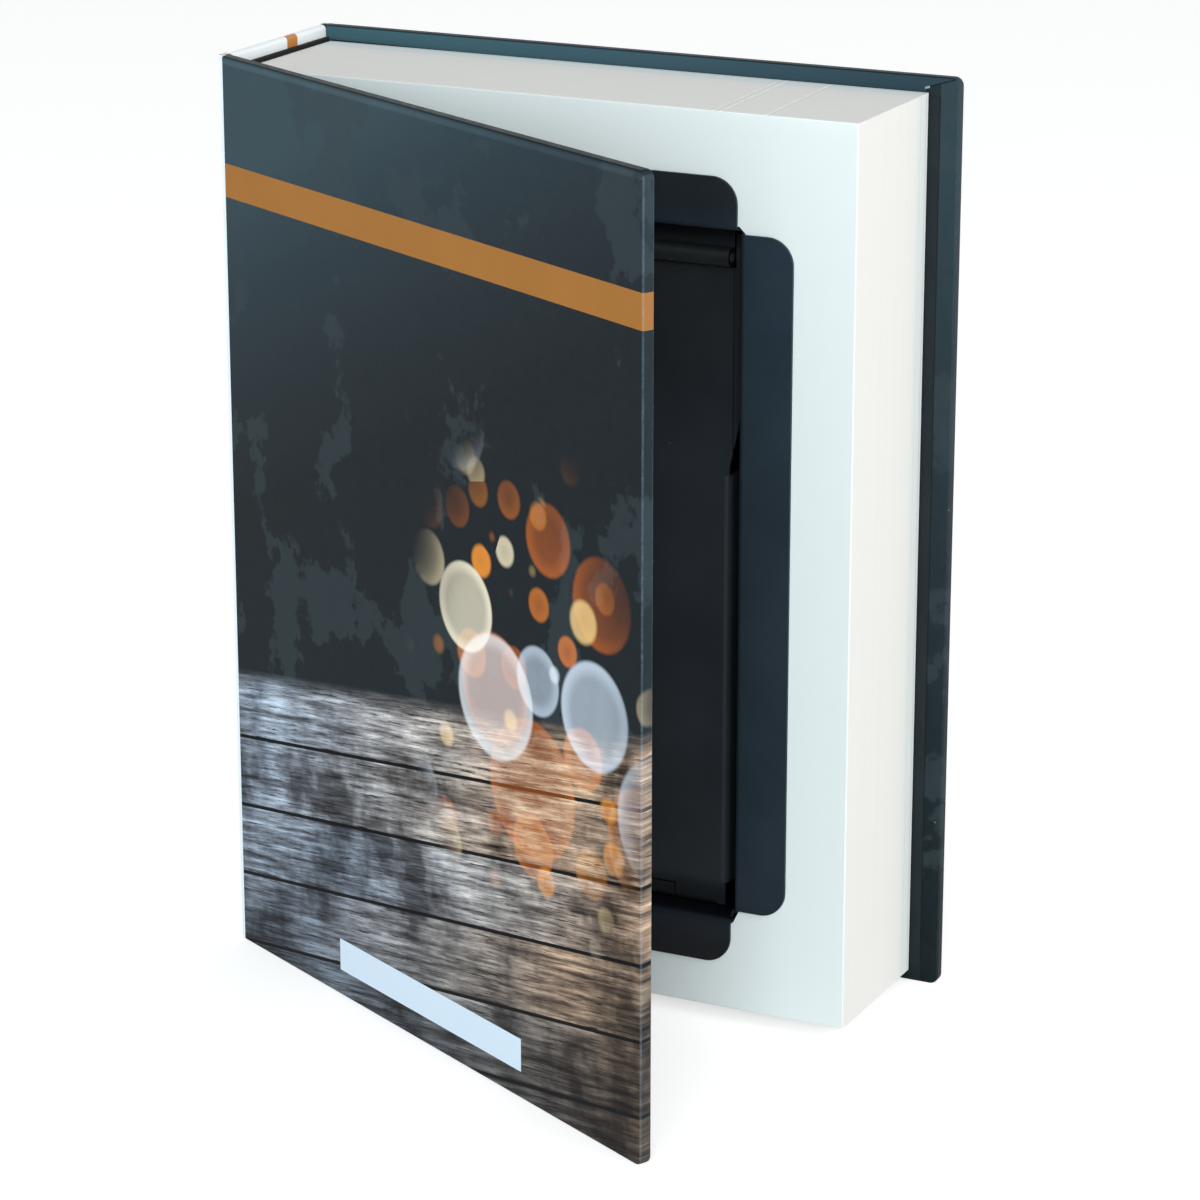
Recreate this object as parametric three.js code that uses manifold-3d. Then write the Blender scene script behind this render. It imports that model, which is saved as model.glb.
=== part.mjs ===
// A book with a steel lock box hidden in its pages, standing on the lower edges of its covers.
// Millimetres, +Z up. The spine is on the left (-X) and the front cover faces -Y. The origin is in
// the middle of the back cover's lower edge, where the book stands on its shelf.
import * as THREE from 'three';
import { mergeVertices } from 'three/addons/utils/BufferGeometryUtils.js';
import Module from 'manifold-3d';

// Cover boards and the paper glued round them
const coverHeight = 265;
const coverWidth = 200;
const boardThickness = 2.2;
const paperThickness = 0.4;
const glueLine = 0.3;
const turnInWidth = 15;
const coverCornerRadius = 2.5;
const spineBoardThickness = 1.2;
const frontCoverAjar = THREE.MathUtils.degToRad(28);

// Endpapers and the lining of the spine
const endpaperThickness = 0.3;
const endpaperMargin = 5.5;
const liningThickness = 1.3;
const liningRise = 1.1;
const spineHollow = 0.3;

// Block of glued pages
const blockWidth = 186.8;
const blockHeight = 257.1;
const blockDepth = 49.1;
const blockFootClearance = 3.5;
const frontClearance = 3;

// Steel tray sunk in the block
const sheetThickness = 0.9;
const wellWidth = 120;
const wellHeight = 197.9;
const wellDepth = 45.6;
const wellRaise = 27.1;
const sideFlangeWidth = 15.6;
const footFlangeWidth = 13.2;
const headFlangeWidth = 14.5;
const flangeCornerRadius = 7.5;
const endFlangeInset = 1;
const footRelief = 3.2;
const headRelief = 0.7;

// Lid of the tray
const lidThickness = 1.2;
const lidRecess = 8.9;
const lidSideGap = 0.6;
const lidFootGap = 0.7;
const lidWaist = 6.6;
const lidShoulderHeight = 154.7;
const lidShoulderSlope = 26.4;
const lidEarHeight = 9.7;
const lidEarGap = 0.5;
const skirtDepth = 7.8;
const skirtFootHeight = 6.4;
const skirtHeadDrop = 2;
const skirtRelief = 1.4;

// Hinge at the head of the lid
const barrelRadius = 2.7;
const pinRadius = 1.3;
const pinClearance = 0.2;
const barrelLength = 109.2;
const knuckleCount = 3;
const knuckleGap = 0.5;
const barrelDrop = 8.9;
const hingeLeafDepth = 20;
const barrelClearance = 0.6;

// Rivets of the hinge and the strike
const rivetShankRadius = 1.5;
const rivetHoleClearance = 0.2;
const rivetHeadRadius = 2.8;
const rivetHeadHeight = 0.9;
const hingeRivetPitch = 42;
const hingeRivetCount = 3;
const strikeRivetInset = 12.4;
const rivetSetBack = 7;

// Strike at the foot of the tray
const strikeWidth = 74.8;
const strikeLipHeight = 4.4;
const strikeWebDepth = 14;
const strikeNotchGap = 0.5;

// Cam lock in the lid
const lockRaise = 20.2;
const lockHeadRadius = 10.5;
const lockHeadThickness = 1.8;
const lockHeadChamfer = 0.6;
const lockBarrelRadius = 8;
const lockBarrelLength = 15.5;
const lockHoleClearance = 0.3;
const plugRadius = 6;
const plugClearance = 0.15;
const plugRecess = 0.3;
const tenonSize = 6;
const tenonLength = 2;
const keySlotWidth = 2.4;
const keySlotHeight = 8.4;
const keySlotDepth = 11;
const nutAcrossFlats = 20;
const nutThickness = 3;

// Wafers inside the plug
const waferCount = 5;
const waferThickness = 0.8;
const waferPitch = 1.9;
const waferWidth = 5.4;
const waferHeight = 10.2;
const waferWindowWidth = 3;
const waferWindowHeight = 4.4;
const waferClearance = 0.15;
const firstWaferDepth = 2.4;

// Cam and its screw
const camThickness = 2;
const camWidth = 9;
const camTail = 6.5;
const camCrankRadius = 13;
const camReach = 18.2;
const camStrikeGap = 1.1;
const screwShankRadius = 1.9;
const screwShankLength = 8;
const screwHeadRadius = 4;
const screwHeadHeight = 2.2;
const screwSlotWidth = 1;
const screwSlotDepth = 1;
const screwClearance = 0.2;

// How far a cutting shape runs past the surface it cuts
const overrun = 1;

// Sides of a round shape
const cornerSteps = 6;
const barrelSides = 24;
const lockSides = 40;
const rivetSides = 20;

// Places worked out from the sizes above. Y is 0 on the front face of the page block.
const coverThickness = boardThickness + 2 * paperThickness + 2 * glueLine;
const spineThickness = spineBoardThickness + 2 * paperThickness + 2 * glueLine;
const backInner = blockDepth + endpaperThickness + 2 * glueLine;
const backOuter = backInner + coverThickness;
const frontOuter = -(frontClearance + coverThickness);
const spineFront = -frontClearance + glueLine;
const spineBack = backInner - glueLine;
const liningLeft = spineThickness + spineHollow;
const blockLeft = liningLeft + liningThickness + glueLine;
const blockRight = blockLeft + blockWidth;
const blockFoot = blockFootClearance;
const blockHead = blockFoot + blockHeight;

const wellCentre = blockLeft + blockWidth / 2;
const wellLeft = wellCentre - wellWidth / 2;
const wellRight = wellCentre + wellWidth / 2;
const wellFoot = blockFoot + wellRaise;
const wellHead = wellFoot + wellHeight;
const flangeBack = -glueLine;
const flangeFront = flangeBack - sheetThickness;
const floorFront = flangeFront + wellDepth;
const floorBack = floorFront + sheetThickness;

const lidFront = flangeFront + lidRecess;
const lidBack = lidFront + lidThickness;
const lidFoot = wellFoot + lidFootGap;
const hingeY = lidBack - barrelRadius;
const hingeZ = wellHead - barrelDrop;
const lidHead = hingeZ - barrelRadius - barrelClearance;

const lockZ = lidFoot + lockRaise;
const headBack = lidFront - glueLine;
const headFront = headBack - lockHeadThickness;
const lockBack = headBack + lockBarrelLength;
const plugFront = headFront + plugRecess;
const plugBack = lockBack + glueLine;
const camFront = plugBack + glueLine;
const camBack = camFront + camThickness;

// Materials, with the colours of the photographed object
function finish(color, roughness, metalness) {
  return new THREE.MeshStandardMaterial({ color, roughness, metalness });
}
const greyBoard = finish(0x8f8a80, 0.9, 0);
const darkPrint = finish(0x262c30, 0.45, 0);
const whitePrint = finish(0xf1f1ee, 0.5, 0);
const darkEndpaper = finish(0x2c363c, 0.7, 0);
const blackLining = finish(0x1b1d1f, 0.85, 0);
const pagePaper = finish(0xe9eae2, 0.9, 0);
const blackPaint = finish(0x1f262b, 0.5, 0.3);
const plainSteel = finish(0x9a9da0, 0.4, 0.9);
const brightNickel = finish(0xc9c9c4, 0.25, 1);
const waferBrass = finish(0xb58f4a, 0.4, 0.9);

const wasm = await Module();
wasm.setup();

// Makes a solid that can be cut and joined out of a closed geometry
function solid(geometry) {
  const bare = geometry.index ? geometry.toNonIndexed() : geometry.clone();
  bare.deleteAttribute('normal');
  bare.deleteAttribute('uv');
  const merged = mergeVertices(bare);
  const vertProperties = new Float32Array(merged.attributes.position.array);
  const triVerts = new Uint32Array(merged.index.array);
  return new wasm.Manifold(new wasm.Mesh({ numProp: 3, vertProperties, triVerts }));
}

// Makes a named mesh out of a solid
function piece(name, shape, material) {
  const { vertProperties, triVerts } = shape.getMesh();
  const geometry = new THREE.BufferGeometry();
  geometry.setAttribute('position', new THREE.BufferAttribute(vertProperties, 3));
  geometry.setIndex(new THREE.BufferAttribute(triVerts, 1));
  geometry.computeVertexNormals();
  const mesh = new THREE.Mesh(geometry, material);
  mesh.name = name;
  return mesh;
}

// Joins solids into one
function joined(shapes) {
  return shapes.reduce((whole, shape) => whole.add(shape));
}

// Takes each of the cutting solids out of the first one
function cut(shape, cutters) {
  return cutters.reduce((whole, cutter) => whole.subtract(cutter), shape);
}

// A box between two limits along each axis
function box([left, right], [front, back], [foot, head]) {
  const geometry = new THREE.BoxGeometry(right - left, back - front, head - foot);
  geometry.translate((left + right) / 2, (front + back) / 2, (foot + head) / 2);
  return solid(geometry);
}

// A flat shape made thick along Y between front and back
function alongY(shape, front, back) {
  const settings = { depth: back - front, bevelEnabled: false };
  const geometry = new THREE.ExtrudeGeometry(shape, settings);
  geometry.rotateX(Math.PI / 2);
  geometry.translate(0, back, 0);
  return solid(geometry);
}

// A shape with straight sides through the given points
function outline(points) {
  return new THREE.Shape(points.map(([across, up]) => new THREE.Vector2(across, up)));
}

// A rectangle with a radius for each corner: lower left, lower right, upper right, upper left
function rounded([left, right], [foot, head], [lowLeft, lowRight, highRight, highLeft]) {
  const corners = [
    [left + lowLeft, foot + lowLeft, lowLeft, 2],
    [right - lowRight, foot + lowRight, lowRight, 3],
    [right - highRight, head - highRight, highRight, 0],
    [left + highLeft, head - highLeft, highLeft, 1],
  ];
  return outline(corners.flatMap(([across, up, radius, quarter]) => {
    if (radius <= 0) return [[across, up]];
    return Array.from({ length: cornerSteps + 1 }, (_, step) => {
      const angle = (quarter + step / cornerSteps) * Math.PI / 2;
      return [across + radius * Math.cos(angle), up + radius * Math.sin(angle)];
    });
  }));
}

// A rod with its axis along X, Y or Z, between two places on that axis
const rodTurns = { x: [0, 0, -Math.PI / 2], y: [0, 0, 0], z: [Math.PI / 2, 0, 0] };
function rod(axis, radius, sides, [from, to], [x, y, z]) {
  const geometry = new THREE.CylinderGeometry(radius, radius, to - from, sides);
  const middle = (from + to) / 2;
  const turn = new THREE.Matrix4().makeRotationFromEuler(new THREE.Euler(...rodTurns[axis]));
  geometry.applyMatrix4(turn);
  geometry.translate(axis === 'x' ? middle : x, axis === 'y' ? middle : y, axis === 'z' ? middle : z);
  return solid(geometry);
}

// Places spread evenly about a centre
function spread(count, pitch, centre) {
  return Array.from({ length: count }, (_, index) => centre + (index - (count - 1) / 2) * pitch);
}

// Paper folded round a cover board. Depth runs in from the outer face: layer() turns two depths into
// two places on Y. The spine side is closed by the paper too, or left open for the board's edge.
function coverPaper(spineSide, openSpineSide, layer) {
  const round = coverCornerRadius;
  const outerShape = rounded([spineSide, coverWidth], [0, coverHeight], [0, round, round, 0]);
  const outer = alongY(outerShape, ...layer(0, coverThickness));
  const cavityStart = openSpineSide ? spineSide - overrun : spineSide + paperThickness;
  const cavity = box(
    [cavityStart, coverWidth - paperThickness],
    layer(paperThickness, coverThickness - paperThickness),
    [paperThickness, coverHeight - paperThickness]);
  const window = box(
    [openSpineSide ? spineSide - overrun : spineSide + turnInWidth, coverWidth - turnInWidth],
    layer(coverThickness / 2, coverThickness + overrun),
    [turnInWidth, coverHeight - turnInWidth]);
  return cut(outer, [cavity, window]);
}

// Board inside a cover's paper, clear of it by the glue line all round
function coverBoard(spineSide, layer) {
  const inset = paperThickness + glueLine;
  const round = coverCornerRadius - paperThickness;
  const shape = rounded(
    [spineSide, coverWidth - inset], [inset, coverHeight - inset], [0, round, round, 0]);
  return alongY(shape, ...layer(inset, inset + boardThickness));
}

// Sheet glued over the board and its turn-ins on the inner face of a cover
function pasteDown(layer) {
  const depth = coverThickness + glueLine;
  return box(
    [spineThickness + endpaperMargin / 2, coverWidth - endpaperMargin],
    layer(depth, depth + endpaperThickness),
    [endpaperMargin, coverHeight - endpaperMargin]);
}

// Back cover: depth runs towards the pages, against Y
const backLayer = (near, far) => [backOuter - far, backOuter - near];
function backCover() {
  return [
    piece('back_cover_wrap', coverPaper(0, false, backLayer), darkPrint),
    piece('back_cover_board', coverBoard(paperThickness + glueLine, backLayer), greyBoard),
    piece('back_endpaper', pasteDown(backLayer), darkEndpaper),
  ];
}

// Spine: white paper folded over the head and foot of a thin board, and the cloth on the pages
function spine() {
  const inner = spineThickness - paperThickness;
  const paper = cut(box([0, spineThickness], [spineFront, spineBack], [0, coverHeight]), [
    box([paperThickness, inner], [spineFront - overrun, spineBack + overrun],
      [paperThickness, coverHeight - paperThickness]),
    box([spineThickness / 2, spineThickness + overrun], [spineFront - overrun, spineBack + overrun],
      [turnInWidth, coverHeight - turnInWidth]),
  ]);
  const inset = paperThickness + glueLine;
  const board = box(
    [inset, inset + spineBoardThickness],
    [spineFront + glueLine, spineBack - glueLine],
    [inset, coverHeight - inset]);
  const lining = box(
    [liningLeft, liningLeft + liningThickness],
    [glueLine, blockDepth - glueLine],
    [blockFoot - liningRise, blockHead + liningRise]);
  return [
    piece('spine_wrap', paper, whitePrint),
    piece('spine_board', board, greyBoard),
    piece('spine_lining', lining, blackLining),
  ];
}

// Page block: sheets glued into one block, with the pocket that the tray sits in
function pageBlock() {
  const reach = sheetThickness + glueLine;
  const block = box([blockLeft, blockRight], [0, blockDepth], [blockFoot, blockHead]);
  const pocket = box(
    [wellLeft - reach, wellRight + reach],
    [-overrun, floorBack + glueLine],
    [wellFoot - reach, wellHead + reach]);
  return piece('page_block', cut(block, [pocket]), pagePaper);
}

// Rivets through a plate and a wall of the tray, heads towards the middle of the tray
function rivetRow(name, places, y, wallOuter, headSeat, towards) {
  const headTop = headSeat + towards * rivetHeadHeight;
  return places.map((x, index) => piece(`${name}_${index + 1}`, joined([
    rod('z', rivetShankRadius, rivetSides, ordered(wallOuter, headTop), [x, y, 0]),
    rod('z', rivetHeadRadius, rivetSides, ordered(headSeat, headTop), [x, y, 0]),
  ]), plainSteel));
}

// Holes for those rivets
function rivetHoles(places, y, [foot, head]) {
  const radius = rivetShankRadius + rivetHoleClearance;
  return places.map((x) => rod('z', radius, rivetSides, [foot - overrun, head + overrun], [x, y, 0]));
}

// The lower of two places first
function ordered(one, other) {
  return [Math.min(one, other), Math.max(one, other)];
}

const hingeRivetPlaces = spread(hingeRivetCount, hingeRivetPitch, wellCentre);
const hingeRivetY = lidBack + rivetSetBack;
const strikeRivetReach = strikeWidth / 2 - strikeRivetInset;
const strikeRivetPlaces = [wellCentre - strikeRivetReach, wellCentre + strikeRivetReach];
const strikeRivetY = lidBack + rivetSetBack;

// Tray: one sheet folded up into a floor, four walls and four flanges with rounded outer corners
function steelTray() {
  const left = wellLeft - sheetThickness;
  const right = wellRight + sheetThickness;
  const foot = wellFoot - sheetThickness;
  const head = wellHead + sheetThickness;
  const walls = cut(box([left, right], [flangeFront, floorBack], [foot, head]), [
    box([wellLeft, wellRight], [flangeFront - overrun, floorFront], [wellFoot, wellHead]),
  ]);
  const round = flangeCornerRadius;
  const sideSpan = [wellFoot + footRelief, wellHead - headRelief];
  const endSpan = [wellLeft + endFlangeInset, wellRight - endFlangeInset];
  const flanges = [
    rounded([wellRight, wellRight + sideFlangeWidth], sideSpan, [0, round, round, 0]),
    rounded([wellLeft - sideFlangeWidth, wellLeft], sideSpan, [round, 0, 0, round]),
    rounded(endSpan, [wellHead, wellHead + headFlangeWidth], [0, 0, round, round]),
    rounded(endSpan, [wellFoot - footFlangeWidth, wellFoot], [round, round, 0, 0]),
  ].map((shape) => alongY(shape, flangeFront, flangeBack));
  const holes = [
    ...rivetHoles(hingeRivetPlaces, hingeRivetY, [wellHead, head]),
    ...rivetHoles(strikeRivetPlaces, strikeRivetY, [foot, wellFoot]),
  ];
  return piece('steel_tray', cut(joined([walls, ...flanges]), holes), blackPaint);
}

// Left and right end of each knuckle of the barrel
function knuckles() {
  const length = (barrelLength - (knuckleCount - 1) * knuckleGap) / knuckleCount;
  const middles = spread(knuckleCount, length + knuckleGap, wellCentre);
  return middles.map((middle) => [middle - length / 2, middle + length / 2]);
}
const isLidKnuckle = (_, index) => index % 2 === 1;
const isTrayKnuckle = (_, index) => index % 2 === 0;
const barrelEnds = [wellCentre - barrelLength / 2, wellCentre + barrelLength / 2];

function pinBore() {
  const span = [barrelEnds[0] - overrun, barrelEnds[1] + overrun];
  return rod('x', pinRadius + pinClearance, barrelSides, span, [0, hingeY, hingeZ]);
}

// Hinge at the head of the tray: a leaf riveted under the head wall, with the two outer knuckles
function hinge() {
  const leafHead = wellHead - glueLine;
  const leafUnder = leafHead - lidThickness;
  const web = box(barrelEnds, [lidFront, lidBack], [hingeZ, leafHead]);
  const shelf = box(barrelEnds, [lidFront, lidFront + hingeLeafDepth], [leafUnder, leafHead]);
  const clearRadius = barrelRadius + barrelClearance;
  const lidRoom = knuckles().filter(isLidKnuckle).map(([left, right]) => box(
    [left - knuckleGap, right + knuckleGap],
    [lidFront - overrun, lidBack + overrun],
    [hingeZ - clearRadius, hingeZ + clearRadius]));
  const barrels = knuckles().filter(isTrayKnuckle).map((span) => (
    rod('x', barrelRadius, barrelSides, span, [0, hingeY, hingeZ])));
  const leaf = joined([cut(web, lidRoom), shelf, ...barrels]);
  const holes = rivetHoles(hingeRivetPlaces, hingeRivetY, [leafUnder, leafHead]);
  const pin = rod('x', pinRadius, barrelSides, barrelEnds, [0, hingeY, hingeZ]);
  const rivets = rivetRow('hinge_rivet',
    hingeRivetPlaces, hingeRivetY, wellHead + sheetThickness, leafUnder - glueLine, -1);
  return [
    piece('hinge_leaf', cut(leaf, [pinBore(), ...holes]), blackPaint),
    piece('hinge_pin', pin, plainSteel),
    ...rivets,
  ];
}

// Strike at the foot of the tray: an angle riveted on the foot wall, whose lip shows in the lid's notch
function strike() {
  const webFoot = wellFoot + glueLine;
  const webHead = webFoot + lidThickness;
  const span = [wellCentre - strikeWidth / 2, wellCentre + strikeWidth / 2];
  const angle = joined([
    box(span, [lidFront, lidFront + strikeWebDepth], [webFoot, webHead]),
    box(span, [lidFront, lidBack], [webFoot, webFoot + strikeLipHeight]),
  ]);
  const holes = rivetHoles(strikeRivetPlaces, strikeRivetY, [webFoot, webHead]);
  const rivets = rivetRow('strike_rivet',
    strikeRivetPlaces, strikeRivetY, wellFoot - sheetThickness, webHead + glueLine, 1);
  return [
    piece('strike_plate', cut(angle, holes), blackPaint),
    ...rivets,
  ];
}

// Lid: a plate as wide as the well at its head and narrower below, with an ear beside each end of the
// barrel, skirts folded back along its sides and foot, a notch over the strike, the middle knuckle
// and the hole for the lock
function lidPanel() {
  const wide = wellWidth / 2 - lidSideGap;
  const narrow = wide - lidWaist + lidSideGap;
  const shoulder = lidFoot + lidShoulderHeight;
  const waist = shoulder - lidShoulderSlope;
  const earSide = barrelLength / 2 + lidEarGap;
  const earHead = lidHead + lidEarHeight;
  const halfOutline = [[narrow, lidFoot], [narrow, waist], [wide, shoulder],
    [wide, earHead], [earSide, earHead], [earSide, lidHead]];
  const mirrored = halfOutline.map(([across, up]) => [-across, up]).reverse();
  const points = [...halfOutline, ...mirrored].map(([across, up]) => [wellCentre + across, up]);
  const plate = alongY(outline(points), lidFront, lidBack);

  const skirtBack = lidBack + skirtDepth;
  const sideSpan = [lidFoot + skirtFootHeight, waist - skirtHeadDrop];
  const notchHalf = strikeWidth / 2 + strikeNotchGap;
  const footEnd = narrow - lidThickness - skirtRelief;
  const skirts = [-1, 1].flatMap((side) => [
    box(ordered(wellCentre + side * narrow, wellCentre + side * (narrow - lidThickness)),
      [lidFront, skirtBack], sideSpan),
    box(ordered(wellCentre + side * notchHalf, wellCentre + side * footEnd),
      [lidFront, skirtBack - lidThickness], [lidFoot, lidFoot + lidThickness]),
  ]);

  const lidKnuckles = knuckles().filter(isLidKnuckle);
  const barrels = lidKnuckles.flatMap((span) => [
    rod('x', barrelRadius, barrelSides, span, [0, hingeY, hingeZ]),
    box(span, [lidFront, lidBack], [lidHead - lidThickness, hingeZ]),
  ]);

  const notchHead = wellFoot + glueLine + strikeLipHeight + strikeNotchGap;
  const notch = box(
    [wellCentre - notchHalf, wellCentre + notchHalf],
    [lidFront - overrun, lidBack + overrun],
    [lidFoot - overrun, notchHead]);
  const lockHole = rod('y', lockBarrelRadius + lockHoleClearance, lockSides,
    [lidFront - overrun, lidBack + overrun], [wellCentre, 0, lockZ]);
  const whole = joined([plate, ...skirts, ...barrels]);
  return piece('lid_panel', cut(whole, [notch, lockHole, pinBore()]), blackPaint);
}

// A hollow body turned about the lock's axis, from points of radius and place on Y. The profile
// runs back along the outer wall, forward along the bore, and closes on itself.
function turned(points) {
  const profile = points.map(([radius, y]) => new THREE.Vector2(radius, y));
  const geometry = new THREE.LatheGeometry([...profile, profile[0].clone()], lockSides);
  geometry.translate(wellCentre, 0, lockZ);
  return solid(geometry);
}

// Housing of the lock: a flanged barrel pushed in from the front of the lid
function lockHousing() {
  const bore = plugRadius + plugClearance;
  const bevel = lockHeadChamfer;
  const housing = turned([
    [lockHeadRadius - bevel, headFront], [lockHeadRadius, headFront + bevel],
    [lockHeadRadius, headBack], [lockBarrelRadius, headBack], [lockBarrelRadius, lockBack],
    [bore, lockBack], [bore, headFront],
  ]);
  return piece('lock_housing', housing, brightNickel);
}

// Hexagonal nut behind the lid
function lockNut() {
  const front = lidBack + glueLine;
  const cornerRadius = nutAcrossFlats / 2 / Math.cos(Math.PI / 6);
  const hexagon = rod('y', cornerRadius, 6, [front, front + nutThickness], [wellCentre, 0, lockZ]);
  const bore = rod('y', lockBarrelRadius + lockHoleClearance, lockSides,
    [front - overrun, front + nutThickness + overrun], [wellCentre, 0, lockZ]);
  return piece('lock_nut', cut(hexagon, [bore]), plainSteel);
}

// A box about the lock's axis, by its width, height and span on Y
function lockBox(width, height, [front, back]) {
  return box(
    [wellCentre - width / 2, wellCentre + width / 2], [front, back],
    [lockZ - height / 2, lockZ + height / 2]);
}

const waferFronts = Array.from({ length: waferCount },
  (_, index) => plugFront + firstWaferDepth + index * waferPitch);

// Plug that the key turns: key slot in front, slots for the wafers, square tenon for the cam
function lockPlug() {
  const barrel = rod('y', plugRadius, lockSides, [plugFront, plugBack], [wellCentre, 0, lockZ]);
  const tenon = lockBox(tenonSize, tenonSize, [plugBack - overrun, camFront + tenonLength - glueLine]);
  const keySlot = lockBox(keySlotWidth, keySlotHeight, [plugFront - overrun, plugFront + keySlotDepth]);
  const slots = waferFronts.map((front) => lockBox(
    waferWidth + 2 * waferClearance, 2 * plugRadius + overrun,
    [front - waferClearance, front + waferThickness + waferClearance]));
  const screwHole = rod('y', screwShankRadius + screwClearance, rivetSides,
    [camFront - screwShankLength + screwHeadHeight, camBack + overrun], [wellCentre, 0, lockZ]);
  return piece('lock_plug', cut(joined([barrel, tenon]), [keySlot, ...slots, screwHole]), brightNickel);
}

// Flat wafers that the key lifts, each with a window for the blade
function lockWafers() {
  return waferFronts.map((front, index) => {
    const span = [front, front + waferThickness];
    const cutSpan = [front - overrun, front + waferThickness + overrun];
    const wafer = cut(lockBox(waferWidth, waferHeight, span), [
      lockBox(waferWindowWidth, waferWindowHeight, cutSpan),
    ]);
    return piece(`lock_wafer_${index + 1}`, wafer, waferBrass);
  });
}

// Cam on the plug: its arm is cranked forward so that its tip passes close behind the strike's lip
function lockCam() {
  const tipFront = lidBack + camStrikeGap;
  const profile = outline([
    [-camTail, camFront], [camCrankRadius, camFront], [camCrankRadius, tipFront],
    [camReach, tipFront], [camReach, tipFront + camThickness],
    [camCrankRadius + camThickness, tipFront + camThickness],
    [camCrankRadius + camThickness, camBack], [-camTail, camBack],
  ]);
  const settings = { depth: camWidth, bevelEnabled: false };
  const geometry = new THREE.ExtrudeGeometry(profile, settings);
  geometry.translate(wellCentre, 0, lockZ - camWidth / 2);
  const hole = lockBox(tenonSize + 2 * screwClearance, tenonSize + 2 * screwClearance,
    [camFront - overrun, camBack + overrun]);
  return piece('lock_cam', cut(solid(geometry), [hole]), plainSteel);
}

// Slotted screw that holds the cam on the tenon
function camScrew() {
  const headSeat = camBack + screwClearance;
  const headEnd = headSeat + screwHeadHeight;
  const shank = rod('y', screwShankRadius, rivetSides,
    [headEnd - screwShankLength, headEnd], [wellCentre, 0, lockZ]);
  const head = rod('y', screwHeadRadius, rivetSides, [headSeat, headEnd], [wellCentre, 0, lockZ]);
  const slot = lockBox(2 * screwHeadRadius + overrun, screwSlotWidth,
    [headEnd - screwSlotDepth, headEnd + overrun]);
  return piece('lock_cam_screw', cut(joined([shank, head]), [slot]), plainSteel);
}

// Front joint: the strip of cover paper between the spine and the front cover's fold
function jointStrip() {
  const strip = box([0, paperThickness], [frontOuter, spineFront - glueLine], [0, coverHeight]);
  return piece('front_joint_strip', strip, whitePrint);
}

// Front cover, drawn shut and then swung ajar about the fold at the strip's front edge
function frontCover() {
  const frontLayer = (near, far) => [near, far];
  const start = paperThickness + glueLine;
  const cover = new THREE.Group();
  cover.add(
    piece('front_cover_wrap', coverPaper(start, true, frontLayer), darkPrint),
    piece('front_cover_board', coverBoard(start, frontLayer), greyBoard),
    piece('front_endpaper', pasteDown(frontLayer), darkEndpaper));
  cover.position.set(0, frontOuter, 0);
  cover.rotation.z = -frontCoverAjar;
  return cover;
}

const book = new THREE.Group();
book.position.set(-coverWidth / 2, -(backInner + backOuter) / 2, 0);
book.add(
  pageBlock(), ...spine(), ...backCover(),
  steelTray(), ...hinge(), ...strike(),
  lidPanel(), lockHousing(), lockNut(),
  lockPlug(), ...lockWafers(), lockCam(), camScrew(),
  jointStrip(), frontCover());

const bookSafe = new THREE.Group();
bookSafe.add(book);

export default bookSafe;
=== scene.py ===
import math
import random

import bmesh
import bpy
from mathutils import Matrix, Vector


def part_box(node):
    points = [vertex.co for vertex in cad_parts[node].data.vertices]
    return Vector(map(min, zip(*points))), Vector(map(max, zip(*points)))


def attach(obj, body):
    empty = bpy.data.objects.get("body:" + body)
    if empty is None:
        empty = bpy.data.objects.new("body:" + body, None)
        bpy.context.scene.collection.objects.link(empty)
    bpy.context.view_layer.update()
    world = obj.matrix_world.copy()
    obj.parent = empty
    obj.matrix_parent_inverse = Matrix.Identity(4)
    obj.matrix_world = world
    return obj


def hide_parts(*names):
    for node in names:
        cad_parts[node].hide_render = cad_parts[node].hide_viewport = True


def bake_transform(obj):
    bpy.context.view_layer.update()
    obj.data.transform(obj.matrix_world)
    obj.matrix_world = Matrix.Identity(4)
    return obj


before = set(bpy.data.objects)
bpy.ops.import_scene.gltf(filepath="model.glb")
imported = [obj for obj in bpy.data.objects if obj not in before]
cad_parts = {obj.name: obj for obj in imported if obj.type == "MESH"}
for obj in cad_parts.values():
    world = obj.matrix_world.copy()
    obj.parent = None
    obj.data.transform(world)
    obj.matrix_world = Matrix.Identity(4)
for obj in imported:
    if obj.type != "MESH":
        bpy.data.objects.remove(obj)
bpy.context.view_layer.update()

# Camera, at the place that the corners of the covers and the page block gave, looking down and to
# the left. Every size below is written in millimetres of the book and made metres by at().
mm = 0.001
scene = bpy.context.scene
camera = bpy.data.objects.new("camera", bpy.data.cameras.new("camera"))
camera.data.lens = 128.06
camera.data.sensor_width = 36
camera.data.clip_end = 20
camera.location = (0.51676, -1.07621, 0.47446)
camera.rotation_euler = (math.radians(72.70), 0, math.radians(26.065))
scene.collection.objects.link(camera)
scene.camera = camera
scene.view_settings.view_transform = "Standard"


def add(tree, kind, inputs=None, **settings):
    """A node with its settings and inputs. A socket given as an input is linked."""
    made = tree.nodes.new("ShaderNode" + kind)
    for name, value in settings.items():
        setattr(made, name, value)
    for name, value in (inputs or {}).items():
        if isinstance(value, bpy.types.NodeSocket):
            tree.links.new(value, made.inputs[name])
        else:
            made.inputs[name].default_value = value
    return made


# Plain studio: white surroundings for the camera and for reflections, a softer grey light from
# all round, three large lamps, and a pale floor that keeps the book's shadow.
def seen_or_mirrored(tree):
    """1 for camera, glossy and transmission rays."""
    ray = add(tree, "LightPath")
    either = add(tree, "Math", {0: ray.outputs["Is Camera Ray"],
                                1: ray.outputs["Is Glossy Ray"]}, operation="MAXIMUM")
    return add(tree, "Math", {0: either.outputs[0], 1: ray.outputs["Is Transmission Ray"]},
        operation="MAXIMUM").outputs[0]


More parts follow.
